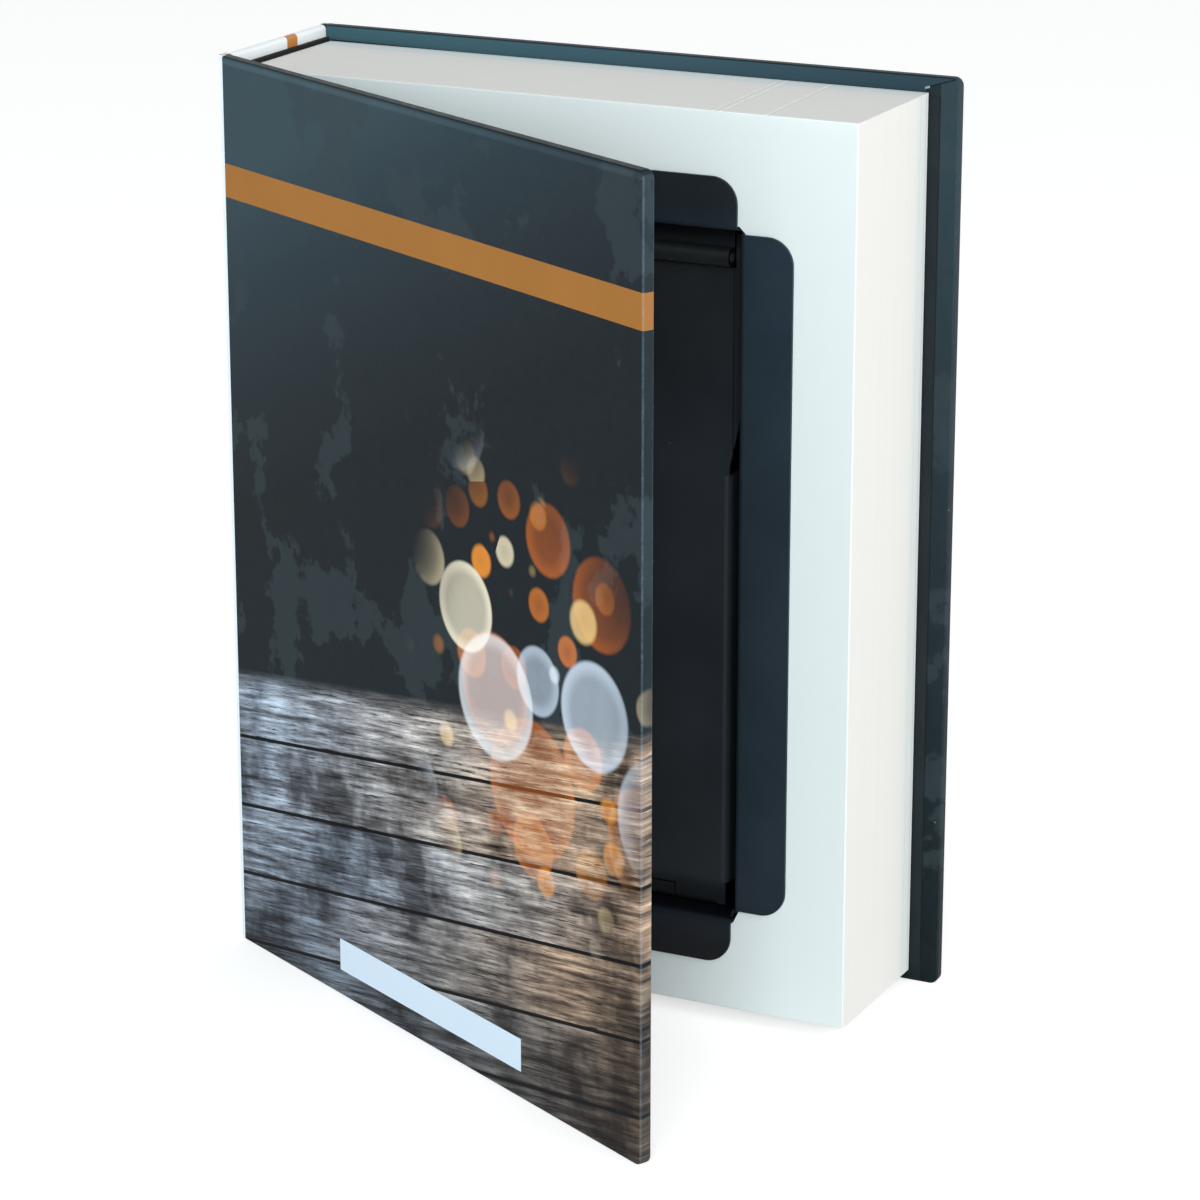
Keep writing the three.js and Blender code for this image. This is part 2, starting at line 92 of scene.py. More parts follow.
studio_grey = 0.45
world = bpy.data.worlds.new("studio")
world.use_nodes = True
scene.world = world
sky = world.node_tree
sky.nodes.clear()
lit = add(sky, "Background", {"Color": (0.97, 0.99, 1, 1), "Strength": studio_grey})
white = add(sky, "Background", {"Color": (1, 1, 1, 1), "Strength": 1.0})
seen = add(sky, "MixShader", {0: seen_or_mirrored(sky), 1: lit.outputs[0], 2: white.outputs[0]})
add(sky, "OutputWorld", {"Surface": seen.outputs[0]})

lamps = {
    "lamp_front": ((0.9, -2.3, 0.9), 1.5, 43, (0.88, 0.97, 1)),
    "lamp_right": ((2.2, -0.5, 1.1), 1.5, 22, (1, 0.95, 0.88)),
    "lamp_left": ((-1.9, -1.9, 0.22), 0.6, 20, (0.90, 0.97, 1)),
}
for name, (place, size, power, tint) in lamps.items():
    lamp = bpy.data.objects.new(name, bpy.data.lights.new(name, "AREA"))
    lamp.data.shape = "SQUARE"
    lamp.data.size = size
    lamp.data.energy = power
    lamp.data.color = tint
    lamp.location = place
    aim = Vector((0, 0, 0.12)) - lamp.location
    lamp.rotation_euler = aim.to_track_quat("-Z", "Y").to_euler()
    scene.collection.objects.link(lamp)

floor_half_width = 6.0
bm = bmesh.new()
bmesh.ops.create_grid(bm, x_segments=1, y_segments=1, size=floor_half_width)
floor = bpy.data.objects.new("floor", bpy.data.meshes.new("floor"))
bm.to_mesh(floor.data)
bm.free()
floor_finish = bpy.data.materials.new("pale_floor")
floor_finish.use_nodes = True
tree = floor_finish.node_tree
tree.nodes.clear()
matt = add(tree, "BsdfDiffuse", {"Color": (0.72, 0.72, 0.72, 1)})
glow = add(tree, "Emission", {"Color": (1, 1, 1, 1), "Strength": 0.58})
both = add(tree, "AddShader", {0: matt.outputs[0], 1: glow.outputs[0]})
shown = add(tree, "MixShader", {0: seen_or_mirrored(tree), 1: matt.outputs[0], 2: both.outputs[0]})
add(tree, "OutputMaterial", {"Surface": shown.outputs[0]})
floor.data.materials.append(floor_finish)
scene.collection.objects.link(floor)


# Page block: sheets of cream-white paper glued into one block, with the pocket for the steel tray
# cut in its front. The trimmed edges show bundles of pages, a hair proud or short of each other.
spine_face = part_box("spine_wrap")[0].x
page_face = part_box("page_block")[0].y
corner = Vector((spine_face, page_face, 0))


def at(x, y, z):
    """A place in the book: millimetres from the spine, behind the front page, above the floor."""
    return corner + Vector((x, y, z)) * mm


def box_in(bm, low, high):
    """A box between two places in the book."""
    low, high = at(*low), at(*high)
    bmesh.ops.create_cube(bm, size=1, matrix=Matrix.LocRotScale((low + high) / 2, None, high - low))


def slice_at(bm, place, normal, **ways):
    """Cuts everything in the mesh along a plane."""
    geom = bm.verts[:] + bm.edges[:] + bm.faces[:]
    bmesh.ops.bisect_plane(bm, geom=geom, plane_co=place, plane_no=normal, **ways)


def rounded(bm, geom, size, segments, affect="EDGES"):
    """Rounds edges, or with VERTICES corners, by a size in millimetres."""
    bmesh.ops.bevel(bm, geom=geom, offset=size * mm, offset_type="OFFSET", segments=segments,
                    profile=0.5, affect=affect, material=-1)


def finished(name, bm, material, replaced, body=None, smooth_angle=35,
             thickness=0.0, offset=-1.0, edge_round=0.0):
    """Makes the mesh a piece of the scene, puts it on its body and hides the nodes it stands for. A
    sheet also gets its thickness and round cut edges. Large faces stay flat in shading."""
    mesh = bpy.data.meshes.new(name)
    bm.to_mesh(mesh)
    bm.free()
    mesh.shade_smooth()
    mesh.set_sharp_from_angle(angle=math.radians(smooth_angle))
    mesh.materials.append(material)
    piece = bpy.data.objects.new(name, mesh)
    scene.collection.objects.link(piece)
    if body:
        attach(piece, body)
    if replaced:
        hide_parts(*replaced)
    if thickness:
        solid = piece.modifiers.new("thickness", "SOLIDIFY")
        solid.thickness = thickness * mm
        solid.offset = offset
        solid.use_even_offset = True
    if edge_round:
        soft = piece.modifiers.new("soft_edges", "BEVEL")
        soft.width = edge_round * mm
        soft.segments = 2
        soft.profile = 0.5
        soft.limit_method = "ANGLE"
        soft.angle_limit = math.radians(50)
    weighted = piece.modifiers.new("flat_faces", "WEIGHTED_NORMAL")
    weighted.mode = "FACE_AREA"
    weighted.weight = 60
    weighted.keep_sharp = True
    return piece


def surface(name, **settings):
    """A material with one shader: settings are the shader's own sockets."""
    made = bpy.data.materials.new(name)
    made.use_nodes = True
    tree = made.node_tree
    tree.nodes.clear()
    shader = add(tree, "BsdfPrincipled", {
        key.replace("_", " "): value for key, value in settings.items()})
    add(tree, "OutputMaterial", {"Surface": shader.outputs[0]})
    return made, tree, shader


def math_node(tree, operation, first, second=0.0, third=0.0):
    return add(tree, "Math", {0: first, 1: second, 2: third}, operation=operation).outputs[0]


def times(tree, first, second):
    return math_node(tree, "MULTIPLY", first, second)


def less(tree, value, limit):
    """1 where the value is below the limit, otherwise 0."""
    return math_node(tree, "LESS_THAN", value, limit)


def more(tree, value, limit):
    """1 where the value is above the limit, otherwise 0."""
    return math_node(tree, "GREATER_THAN", value, limit)


def near(tree, value, centre, reach):
    """1 where the value is within reach of the centre, otherwise 0."""
    return math_node(tree, "COMPARE", value, centre, reach)


def ranged(tree, value, start, end, low, high, kind="LINEAR"):
    """The value led from start and end to low and high, and held there beyond them."""
    return add(tree, "MapRange", {0: value, 1: start, 2: end, 3: low, 4: high},
               interpolation_type=kind).outputs[0]


def ramp(tree, value, stops, interpolation="LINEAR"):
    """A colour ramp: stops are pairs of position and colour."""
    made = add(tree, "ValToRGB", {0: value})
    made.color_ramp.interpolation = interpolation
    elements = made.color_ramp.elements
    while len(elements) < len(stops):
        elements.new(0.5)
    for element, (position, color) in zip(elements, stops):
        element.position = position
        element.color = (*color, 1)
    return made.outputs[0]


def mixed(tree, share, first, second, blend="MIX"):
    made = add(tree, "Mix", {0: share}, data_type="RGBA", blend_type=blend)
    for index, value in ((6, first), (7, second)):
        if isinstance(value, bpy.types.NodeSocket):
            tree.links.new(value, made.inputs[index])
        else:
            made.inputs[index].default_value = (*value, 1)
    return made.outputs[2]


def stretched(tree, scale=(1, 1, 1), location=(0, 0, 0), rotation=(0, 0, 0), kind="POINT"):
    """Object coordinates, scaled, moved and turned."""
    place = add(tree, "TexCoord").outputs["Object"]
    return add(tree, "Mapping", {"Vector": place, "Location": location, "Rotation": rotation,
                                 "Scale": scale}, vector_type=kind).outputs[0]


def noise(tree, vector, scale, detail=2.0, roughness=0.5):
    made = add(tree, "TexNoise", {"Vector": vector, "Scale": scale, "Detail": detail,
                                  "Roughness": roughness})
    return made.outputs[0]


def in_book(tree, up_scale=1000):
    """Millimetres from the spine and behind the front page, and the height by its own scale."""
    return add(tree, "SeparateXYZ", {0: stretched(
        tree, (1000, 1000, up_scale), (-corner.x * 1000, -corner.y * 1000, 0))}).outputs


def specks(tree, vector, scale, radius, rarity):
    """1 on round specks, in those cells whose random value is above the rarity."""
    cell = add(tree, "TexVoronoi", {"Vector": vector, "Scale": scale})
    chance = add(tree, "SeparateColor", {0: cell.outputs["Color"]}).outputs[0]
    return times(tree, less(tree, cell.outputs["Distance"], radius), more(tree, chance, rarity))


def coloured(tree, shader, colour):
    tree.links.new(colour, shader.inputs["Base Color"])


def roughened(tree, shader, value, low, high):
    """Roughness between low and high, by a noise."""
    tree.links.new(ranged(tree, value, 0.3, 0.7, low, high), shader.inputs["Roughness"])


def bumped(tree, shader, height, distance):
    """Bump from a height between 0 and 1, distance in metres."""
    made = add(tree, "Bump", {"Height": height, "Distance": distance, "Strength": 1.0})
    tree.links.new(made.outputs[0], shader.inputs["Normal"])


page_low, page_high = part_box("page_block")
block_low, block_high = (4.5, 0, 3.5), (191.3, 49.1, 260.6)
sheet_bundle = 0.55
first_bundle, last_bundle = 1.0, 48.2
bundle_step = 0.02
pocket = {"left": 36.7, "right": 159.1, "foot": 29.4, "head": 229.7, "back": 45.6}
pocket_centre = (97.9, 0, 129.55)
around_pocket = (30, 0, 25), (165, 0, 235)
page_edge_round = 0.35
pocket_corner = 1.8
foot_corner_rise = 2.1
sharp_turn = 1.4

bm = bmesh.new()
box_in(bm, block_low, block_high)
random.seed(5)
depth = first_bundle
while depth < last_bundle:
    slice_at(bm, at(0, depth, 0), (0, 1, 0))
    depth += sheet_bundle * random.uniform(0.7, 1.5)
step_at = {}
for vert in bm.verts:
    key = round(vert.co.y * 1e6)
    if key not in step_at:
        inside = page_low.y + 0.5 * mm < vert.co.y < page_high.y - 0.5 * mm
        step_at[key] = [random.uniform(0, bundle_step) * mm * inside for _ in range(3)]
    right, head, foot = step_at[key]
    if vert.co.x > page_high.x - 1e-6:
        vert.co.x -= right
    vert.co.z += foot if vert.co.z < 0.1 else -head
for side in ("left", "right"):
    slice_at(bm, at(pocket[side], 0, 0), (1, 0, 0))
for side in ("foot", "head"):
    slice_at(bm, at(0, 0, pocket[side]), (0, 0, 1))


def from_pocket_centre(face):
    return (face.calc_center_median() - at(*pocket_centre)).length


middle = [face for face in bm.faces if face.normal.y < -0.99
          and face.calc_center_median().y < page_low.y + 1e-5 and from_pocket_centre(face) < 1 * mm]
rounded(bm, [vert for face in middle for vert in face.verts], pocket_corner, 1, "VERTICES")
middle = [min((face for face in bm.faces if face.normal.y < -0.99), key=from_pocket_centre)]
for vert in middle[0].verts:
    if abs(vert.co.z - at(0, 0, pocket["foot"] + pocket_corner).z) < 1e-5:
        vert.co.z += foot_corner_rise * mm
walls = bmesh.ops.extrude_face_region(bm, geom=middle)
bmesh.ops.translate(bm, vec=(0, pocket["back"] * mm, 0),
                    verts=[item for item in walls["geom"] if isinstance(item, bmesh.types.BMVert)])
bmesh.ops.delete(bm, geom=[face for face in middle if face.is_valid], context="FACES")
near_low, near_high = (at(*place) for place in around_pocket)
rim = [edge for edge in bm.edges if edge.is_manifold and edge.calc_face_angle() > sharp_turn
       and all(v.co.y < page_low.y + 1e-5 for v in edge.verts)
       and not (near_low.x < edge.verts[0].co.x < near_high.x
                and near_low.z < edge.verts[0].co.z < near_high.z)]
rounded(bm, rim, page_edge_round, 3)
bmesh.ops.recalc_face_normals(bm, faces=bm.faces)

page_paper, tree, shader = surface("page_paper", Roughness=0.85, Specular_IOR_Level=0.25)
fine = noise(tree, stretched(tree, (6, 4200, 6)), 1.0, 3.0, 0.6)
broad = noise(tree, stretched(tree, (2.5, 420, 2.5)), 1.0, 2.0, 0.5)
lines = math_node(tree, "MULTIPLY_ADD", fine, 0.6, times(tree, broad, 0.4))
paper_tone = ramp(tree, lines, ((0.34, (0.860, 0.855, 0.832)), (0.56, (0.885, 0.88, 0.86))))
across, depth, height = in_book(tree)
# Painted light: the front face is tinted bluer, for the cool light falling on it.
cool_lit_front_face = less(tree, depth, 0.2)
paper_tone = mixed(tree, cool_lit_front_face, paper_tone, (0.845, 0.905, 0.905))
# Painted shade: the last leaves towards the back cover turn darker and bluer.
shaded_last_leaves = ranged(tree, depth, 40.0, 42.5, 0.0, 0.85, "SMOOTHSTEP")
paper_tone = mixed(tree, shaded_last_leaves, paper_tone, (0.80, 0.865, 0.87))
# Painted shade: two dark lines at gaps between the leaves near the back.
for shaded_gap, half_width, strength in ((43.9, 0.35, 0.18), (47.9, 0.40, 0.42)):
    line = near(tree, depth, shaded_gap, half_width)
    paper_tone = mixed(tree, times(tree, line, strength), paper_tone, (0.50, 0.54, 0.55))
on_head = more(tree, height, 260.35)
wander = noise(tree, add(tree, "CombineXYZ", {1: depth}).outputs[0], 0.30, 5.0, 0.75)
ragged = noise(tree, stretched(tree, (1000, 1000, 1000)), 0.9, 3.0, 0.7)
drift = math_node(tree, "MULTIPLY_ADD", wander, 1.2,
    math_node(tree, "MULTIPLY_ADD", ragged, 0.9, across))
drift = math_node(tree, "MULTIPLY_ADD", depth, 0.036, drift)
ridges = 0.0
for nick, half_width, strength in ((152.5, 0.70, 1.0), (150.3, 0.50, 0.9), (165.5, 0.62, 1.0)):
    shadow = times(tree, on_head, near(tree, drift, nick + 0.85, 0.30))
    paper_tone = mixed(tree, times(tree, shadow, 0.35 * strength), paper_tone, (0.62, 0.63, 0.61))
    line = times(tree, on_head, near(tree, drift, nick, half_width))
    share = times(tree, line, times(tree, ramp(tree, wander,
                ((0.36, (0.5, 0.5, 0.5)), (0.5, (1, 1, 1)))), strength))
    paper_tone = mixed(tree, share, paper_tone, (0.99, 0.995, 0.985))
    ridges = math_node(tree, "ADD", share, ridges)
coloured(tree, shader, paper_tone)
bumped(tree, shader, math_node(tree, "MULTIPLY_ADD", ridges, 26.0, lines), 0.000015)
finished("pages", bm, page_paper, ["page_block"], "book")


# Cloth on the spine side of the pages, black and glued flat, with a thin lap behind the last page,
# and the grey boards in spine and covers. Cloth and boards keep their solids' shape.
def reused(node, material):
    """Gives a solid of the model its finish."""
    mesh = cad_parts[node].data
    mesh.materials.clear()
    mesh.materials.append(material)


black_cloth, tree, shader = surface("black_cloth", Roughness=0.9, Specular_IOR_Level=0.2)
weave = add(tree, "TexWave", {"Vector": stretched(tree), "Scale": 900.0,
                              "Distortion": 1.5}, bands_direction="Z").outputs[0]
coloured(tree, shader, ramp(tree, weave, ((0, (0.006, 0.007, 0.008)), (1, (0.018, 0.019, 0.021)))))
bumped(tree, shader, weave, 0.00008)
reused("spine_lining", black_cloth)

lap_low, lap_high = (4.5, 49.16, 3.6), (36.0, 49.46, 261.0)
lap_slope = (9, 0, -0.4)
bm = bmesh.new()
box_in(bm, lap_low, lap_high)
sloped = [vert for vert in bm.verts if vert.co.x > at(lap_high[0] - 1, 0, 0).x and vert.co.z > 0.2]
bmesh.ops.translate(bm, verts=sloped, vec=Vector(lap_slope) * mm)
bmesh.ops.recalc_face_normals(bm, faces=bm.faces)
finished("cloth_lap", bm, black_cloth, [], "book")

grey_board, tree, shader = surface("grey_board", Roughness=0.95, Specular_IOR_Level=0.2)
fibres = noise(tree, stretched(tree), 900.0, 6.0, 0.7)
coloured(tree, shader, ramp(tree, fibres, ((0.3, (0.20, 0.18, 0.15)), (0.7, (0.34, 0.31, 0.27)))))
bumped(tree, shader, fibres, 0.0001)
for node in ("spine_board", "back_cover_board", "front_cover_board"):
    reused(node, grey_board)


# Spine: white satin paper with one bronze stripe from head to foot, rolled over the head and the
# foot of the thin board and turned in. It is one sheet, drawn along its own fold line.
def draw(bm, edges, vector):
    """Extrudes a row of edges by a vector and gives the new row."""
    made = bmesh.ops.extrude_edge_only(bm, edges=edges)["geom"]
    bmesh.ops.translate(bm, verts=[v for v in made if isinstance(v, bmesh.types.BMVert)],
                        vec=Vector(vector) * mm)
    return [e for e in made if isinstance(e, bmesh.types.BMEdge)
            and all(v in made for v in e.verts) and len(e.link_faces) == 1]


def fold(bm, edges, centre, axis, degrees, steps):
    """Turns a row of edges about an axis, leaving the bent sheet behind, and gives the new row."""
    made = bmesh.ops.spin(bm, geom=edges, cent=centre, axis=axis, dvec=(0, 0, 0),
                          angle=math.radians(degrees), steps=steps, use_merge=False,
                          use_normal_flip=False, use_duplicate=False)["geom_last"]
    return [e for e in made if isinstance(e, bmesh.types.BMEdge)]


def row(bm, start, end, parts=1):
    """A straight row of edges between two places in the book."""
    start, end = at(*start), at(*end)
    verts = [bm.verts.new(start.lerp(end, step / parts)) for step in range(parts + 1)]
    return [bm.edges.new(pair) for pair in zip(verts, verts[1:])]


def middle_of(edge):
    return (edge.verts[0].co + edge.verts[1].co) / 2


def facing(bm, direction, among=None):
    """Makes the sheet's faces agree, with the largest one facing the given way."""
    bmesh.ops.recalc_face_normals(bm, faces=bm.faces)
    bm.faces.ensure_lookup_table()
    largest = max(among or bm.faces, key=lambda face: face.calc_area())
    if largest.normal.dot(Vector(direction)) < 0:
        bmesh.ops.reverse_faces(bm, faces=bm.faces)


paper = 0.4
cover_height = 265.0
spine_thick = 2.6
spine_roll = spine_thick / 2
turn_in = 15.0
spine_front, spine_back = -2.7, 49.7
stripe_centre, stripe_half = 30.3, 2.9

bm = bmesh.new()
strip = row(bm, (spine_thick, spine_front, turn_in), (spine_thick, spine_back, turn_in), 12)
strip = draw(bm, strip, (0, 0, spine_roll - turn_in))
strip = fold(bm, strip, at(spine_roll, 0, spine_roll), (0, 1, 0), 180, 10)
strip = draw(bm, strip, (0, 0, cover_height - 2 * spine_roll))
strip = fold(bm, strip, at(spine_roll, 0, cover_height - spine_roll), (0, 1, 0), 180, 10)
draw(bm, strip, (0, 0, spine_roll - turn_in))
facing(bm, (-1, 0, 0))

white_print, tree, shader = surface("white_print", Roughness=0.38, Specular_IOR_Level=0.4)
stripe = near(tree, in_book(tree)[1], stripe_centre, stripe_half)
cloudy = noise(tree, stretched(tree), 40.0, 3.0)
white_tone = ramp(tree, cloudy, ((0.3, (0.89, 0.94, 0.975)), (0.7, (0.92, 0.96, 0.98))))
bronze_tone = ramp(tree, cloudy, ((0.3, (0.50, 0.190, 0.040)), (0.7, (0.56, 0.220, 0.050))))
coloured(tree, shader, mixed(tree, stripe, white_tone, bronze_tone))
laid = noise(tree, stretched(tree), 1400.0, 3.0)
bumped(tree, shader, laid, 0.00002)
finished("spine_paper", bm, white_print, ["spine_wrap"], "book", 60, paper)


# Covers: printed and laminated paper folded round a board, its edges turned in on the inner face,
# with soft rims and rounded outer corners. The back one is dark slate all over.
cover_thick = 3.6
cover_width = 200.0
rim_round = 0.6
cover_corner = 2.5


def cover_shell(bm, start):
    """Outer skin of a cover, lying flat with its outer face on y 0: x from the spine, z up."""
    bmesh.ops.create_cube(bm, size=1, matrix=Matrix.LocRotScale(
        Vector(((start + cover_width) / 2, cover_thick / 2, cover_height / 2)) * mm, None,
        Vector((cover_width - start, cover_thick, cover_height)) * mm))
    far = [edge for edge in bm.edges
           if all(v.co.x > (cover_width - 1) * mm for v in edge.verts)
           and abs(edge.verts[0].co.z - edge.verts[1].co.z) < 1e-6]
    rounded(bm, far, cover_corner, 6)
    rims = [edge for edge in bm.edges if edge.calc_face_angle() > sharp_turn
            and abs(edge.verts[0].co.y - edge.verts[1].co.y) < 1e-6]
    rounded(bm, rims, rim_round, 4)
    for place, normal in (((0, 0, turn_in), (0, 0, 1)), ((0, 0, cover_height - turn_in), (0, 0, 1)),
                          ((cover_width - turn_in, 0, 0), (1, 0, 0)),
                          ((turn_in, 0, 0), (1, 0, 0))):
        inside = [face for face in bm.faces if face.normal.y > 0.999]
        edges = {edge for face in inside for edge in face.edges}
        verts = {vert for face in inside for vert in face.verts}
        bmesh.ops.bisect_plane(bm, geom=[*inside, *edges, *verts], plane_co=Vector(place) * mm,
                               plane_no=normal)
    middle = Vector((cover_width / 2, cover_thick, cover_height / 2)) * mm
    inner = min(bm.faces, key=lambda face: (face.calc_center_median() - middle).length)
    bmesh.ops.delete(bm, geom=[inner], context="FACES")


def cover_print(name, turned, origin, inward_sign, tones, highlight_and_wear, front=None):
    """Laminated print: dark mottled slate, white at the spine's fold, a painted highlight along the
    rims that is in part the laminate worn pale, and painted shade on the head rim. Places are
    millimetres on the cover: across from the fold, in from the outer face, and up. front draws a
    design over the slate."""
    material, tree, shader = surface(name, Specular_IOR_Level=0.03)
    whole = stretched(tree, (mm, mm, mm), origin, (0, 0, turned), "TEXTURE")
    across, inward, up = add(tree, "SeparateXYZ", {0: whole}).outputs
    inward = times(tree, inward, inward_sign)
    flat = add(tree, "CombineXYZ", {0: math_node(tree, "ADD", across, inward), 2: up}).outputs[0]
    # The tones ramp the slate by height and across; on the front cover this ramp is a painted
    # bluish sheen towards the upper left.
    slope, stops = tones
    tone = ramp(tree, math_node(tree, "MULTIPLY_ADD", up, 1 / cover_height,
            times(tree, across, slope / cover_width)), stops)
    blotch = noise(tree, flat, 0.022, 5.0, 0.62)
    patches = ramp(tree, blotch, ((0.545, (0, 0, 0)), (0.565, (1, 1, 1))))
    tone = mixed(tree, times(tree, patches, 0.50), tone, (0.038, 0.054, 0.062))
    fine = noise(tree, flat, 0.25, 4.0, 0.6)
    tone = mixed(tree, 0.08, tone, ramp(tree, fine, ((0.3, (0.002, 0.003, 0.004)),
                                                     (0.75, (0.040, 0.055, 0.066)))))
    if front:
        tone = front(tree, flat, across, inward, up, tone)

    # The corner's fold on the inner face: the fore-edge flap lies over the head flap
    flap_end, flap_foot = 190.2, 259.0
    seam_across, seam_up, seam_slope = 191.3, 262.2, 0.32
    on_inner = more(tree, inward, cover_thick - 0.3)
    rise = math_node(tree, "SUBTRACT", up, math_node(tree, "MULTIPLY_ADD", math_node(
        tree, "SUBTRACT", across, seam_across), seam_slope, seam_up))
    at_corner = times(tree, on_inner, more(tree, across, flap_end))
    head_flap = times(tree, on_inner, more(tree, up, flap_foot))
    above = times(tree, head_flap, math_node(tree, "MAXIMUM", more(tree, rise, 0.0),
            less(tree, across, flap_end)))
    flap_tone = ramp(tree, times(tree, across, 1 / cover_width),
        ((0.1, (0.050, 0.112, 0.138)), (0.55, (0.044, 0.088, 0.112)),
            (0.98, (0.028, 0.052, 0.068))))
    tone = mixed(tree, above, tone, flap_tone)
    # Painted shadow of the page block: the strip just inside the fore-edge flap is darkened below
    # the seam, and the strip along the hinge is darkened with it.
    beside = times(tree, near(tree, across, 192.4, 2.2), less(tree, rise, 0.0))
    hinge_strip = times(tree, less(tree, across, turn_in + 0.5),
        near(tree, up, cover_height / 2, cover_height / 2 - 5.5))
    beside = times(tree, on_inner, math_node(tree, "MAXIMUM", times(tree, beside, 0.8),
            hinge_strip))
    tone = mixed(tree, beside, tone, (0.016, 0.022, 0.025))
    seam_line = times(tree, at_corner, near(tree, rise, 0.0, 0.18))
    tone = mixed(tree, times(tree, seam_line, 0.85), tone, (0.006, 0.009, 0.011))
    # Painted highlight: a pale tick where the fore-edge flap turns up at the seam's end.
    turned_up_highlight = times(tree, near(tree, across, 190.6, 0.7),
        times(tree, on_inner, near(tree, rise, -0.1, 0.3)))
    tone = mixed(tree, times(tree, turned_up_highlight, 0.6), tone, (0.45, 0.55, 0.58))

    # Painted highlight: the far rim and the inner face next to it are made lighter.
    on_rim = more(tree, across, cover_width - 0.5)
    near_rim = ranged(tree, across, 197.2, 198.8, 0.0, 0.45)
    rim_highlight = math_node(tree, "MAXIMUM", on_rim, times(tree, near_rim, on_inner))
    tone = mixed(tree, times(tree, rim_highlight, highlight_and_wear), tone,
        mixed(tree, 1.0, tone, (0.011, 0.016, 0.020), "ADD"))
    # Painted shade: the rim along the head, which faces up, is darkened.
    on_head = more(tree, up, cover_height - 0.35)
    tone = mixed(tree, on_head, tone, mixed(tree, 1.0, tone, (0.36, 0.38, 0.40), "MULTIPLY"))
    # Painted highlight: a lighter line on the outer face just below the head rim.
    from_line = math_node(tree, "ABSOLUTE", math_node(tree, "SUBTRACT", up, cover_height - 1.5))
    head_highlight = times(tree, less(tree, inward, 0.3),
        ranged(tree, from_line, 0.3, 1.1, 0.6, 0.0, "SMOOTHSTEP"))
    tone = mixed(tree, head_highlight, tone, mixed(tree, 1.0, tone, (1.75, 1.75, 1.75), "MULTIPLY"))

    # Pale lines along the edges of the rims, broken by noise: in part a painted highlight, in part
    # the laminate worn pale
    rim_line_noise = noise(tree, whole, 0.35, 6.0, 0.75)
    worn_highlight = ramp(tree, rim_line_noise, ((0.42, (0.25, 0.25, 0.25)), (0.66, (1, 1, 1))))
    far_rim = more(tree, across, cover_width - 0.45)
    outer_line = less(tree, inward, 0.45)
    inner_line = more(tree, inward, cover_thick - 0.45)
    line = times(tree, far_rim, math_node(tree, "MAXIMUM", outer_line, inner_line))
    tone = mixed(tree, times(tree, line, times(tree, worn_highlight, 0.20 * highlight_and_wear)), tone,
        (0.30, 0.42, 0.52))
    dust = specks(tree, whole, 0.16, 0.028, 0.55)
    tone = mixed(tree, times(tree, dust, times(tree, on_inner, 0.7)), tone, (0.55, 0.62, 0.66))
    fold_white = times(tree, less(tree, across, 2.1),
        math_node(tree, "MAXIMUM", less(tree, inward, 1.5), less(tree, across, 0.7)))
    tone = mixed(tree, fold_white, tone, (0.80, 0.86, 0.90))
    coloured(tree, shader, tone)
    roughened(tree, shader, fine, 0.32, 0.44)
    bumped(tree, shader, noise(tree, whole, 1.6, 3.0), 0.000015)
    return material


back_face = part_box("back_cover_wrap")[1].y
bm = bmesh.new()
cover_shell(bm, 0)
bmesh.ops.scale(bm, verts=bm.verts, vec=(1, -1, 1))
bmesh.ops.translate(bm, verts=bm.verts, vec=(corner.x, back_face, 0))
facing(bm, (0, 1, 0))
back_print = cover_print("dark_print_back", 0, (corner.x, back_face, 0), -1, (0.0, (
    (0.05, (0.009, 0.014, 0.016)), (0.40, (0.015, 0.023, 0.028)), (0.68, (0.021, 0.034, 0.042)),
    (0.94, (0.029, 0.052, 0.064)))), 0.2)
finished("back_cover", bm, back_print, ["back_cover_wrap"], "book", thickness=paper)


# Endpapers: one dark sheet pasted over the inner face of each cover, sunk a little where the
# turned-in edges stop and the board is bare underneath.
endpaper_margin = 5.5
endpaper_start = 5.4
endpaper_thick = 0.25
endpaper_sunk = 0.45


def endpaper_sheet(bm):
    """The sheet, lying flat with the cover's outer face on y 0 and its own face towards +y."""
    left, right = endpaper_start, cover_width - endpaper_margin
    foot, head = endpaper_margin, cover_height - endpaper_margin
    bmesh.ops.create_grid(bm, x_segments=1, y_segments=1, size=0.5)
    bmesh.ops.rotate(bm, verts=bm.verts, matrix=Matrix.Rotation(-math.pi / 2, 3, "X"))
    bmesh.ops.scale(bm, verts=bm.verts, vec=((right - left) * mm, 1, (head - foot) * mm))
    bmesh.ops.translate(bm, verts=bm.verts, vec=Vector((
        (left + right) / 2, cover_thick + endpaper_thick, (foot + head) / 2)) * mm)
    face = bm.faces[:][0]
    if face.normal.y < 0:
        bmesh.ops.reverse_faces(bm, faces=[face])
    border = turn_in - endpaper_margin
    for width, sink in ((border - 0.5, 0.0), (1.2, -endpaper_sunk), (4.0, -0.08)):
        bmesh.ops.inset_region(bm, faces=[face], thickness=width * mm, depth=0,
                               use_even_offset=True, use_boundary=True)
        bmesh.ops.translate(bm, verts=face.verts, vec=(0, sink * mm, 0))


dark_endpaper, tree, shader = surface("dark_endpaper", Roughness=0.62, Specular_IOR_Level=0.05)
mottle = noise(tree, stretched(tree), 60.0, 5.0, 0.6)
grain = noise(tree, stretched(tree), 1500.0, 4.0, 0.7)
endpaper_tone = ramp(tree, mottle, ((0.3, (0.0145, 0.0195, 0.022)), (0.7, (0.020, 0.026, 0.029))))
coloured(tree, shader, mixed(tree, 0.15, endpaper_tone, ramp(tree, grain, (
    (0.3, (0.006, 0.008, 0.009)), (0.7, (0.03, 0.038, 0.042))))))
bumped(tree, shader, grain, 0.00004)

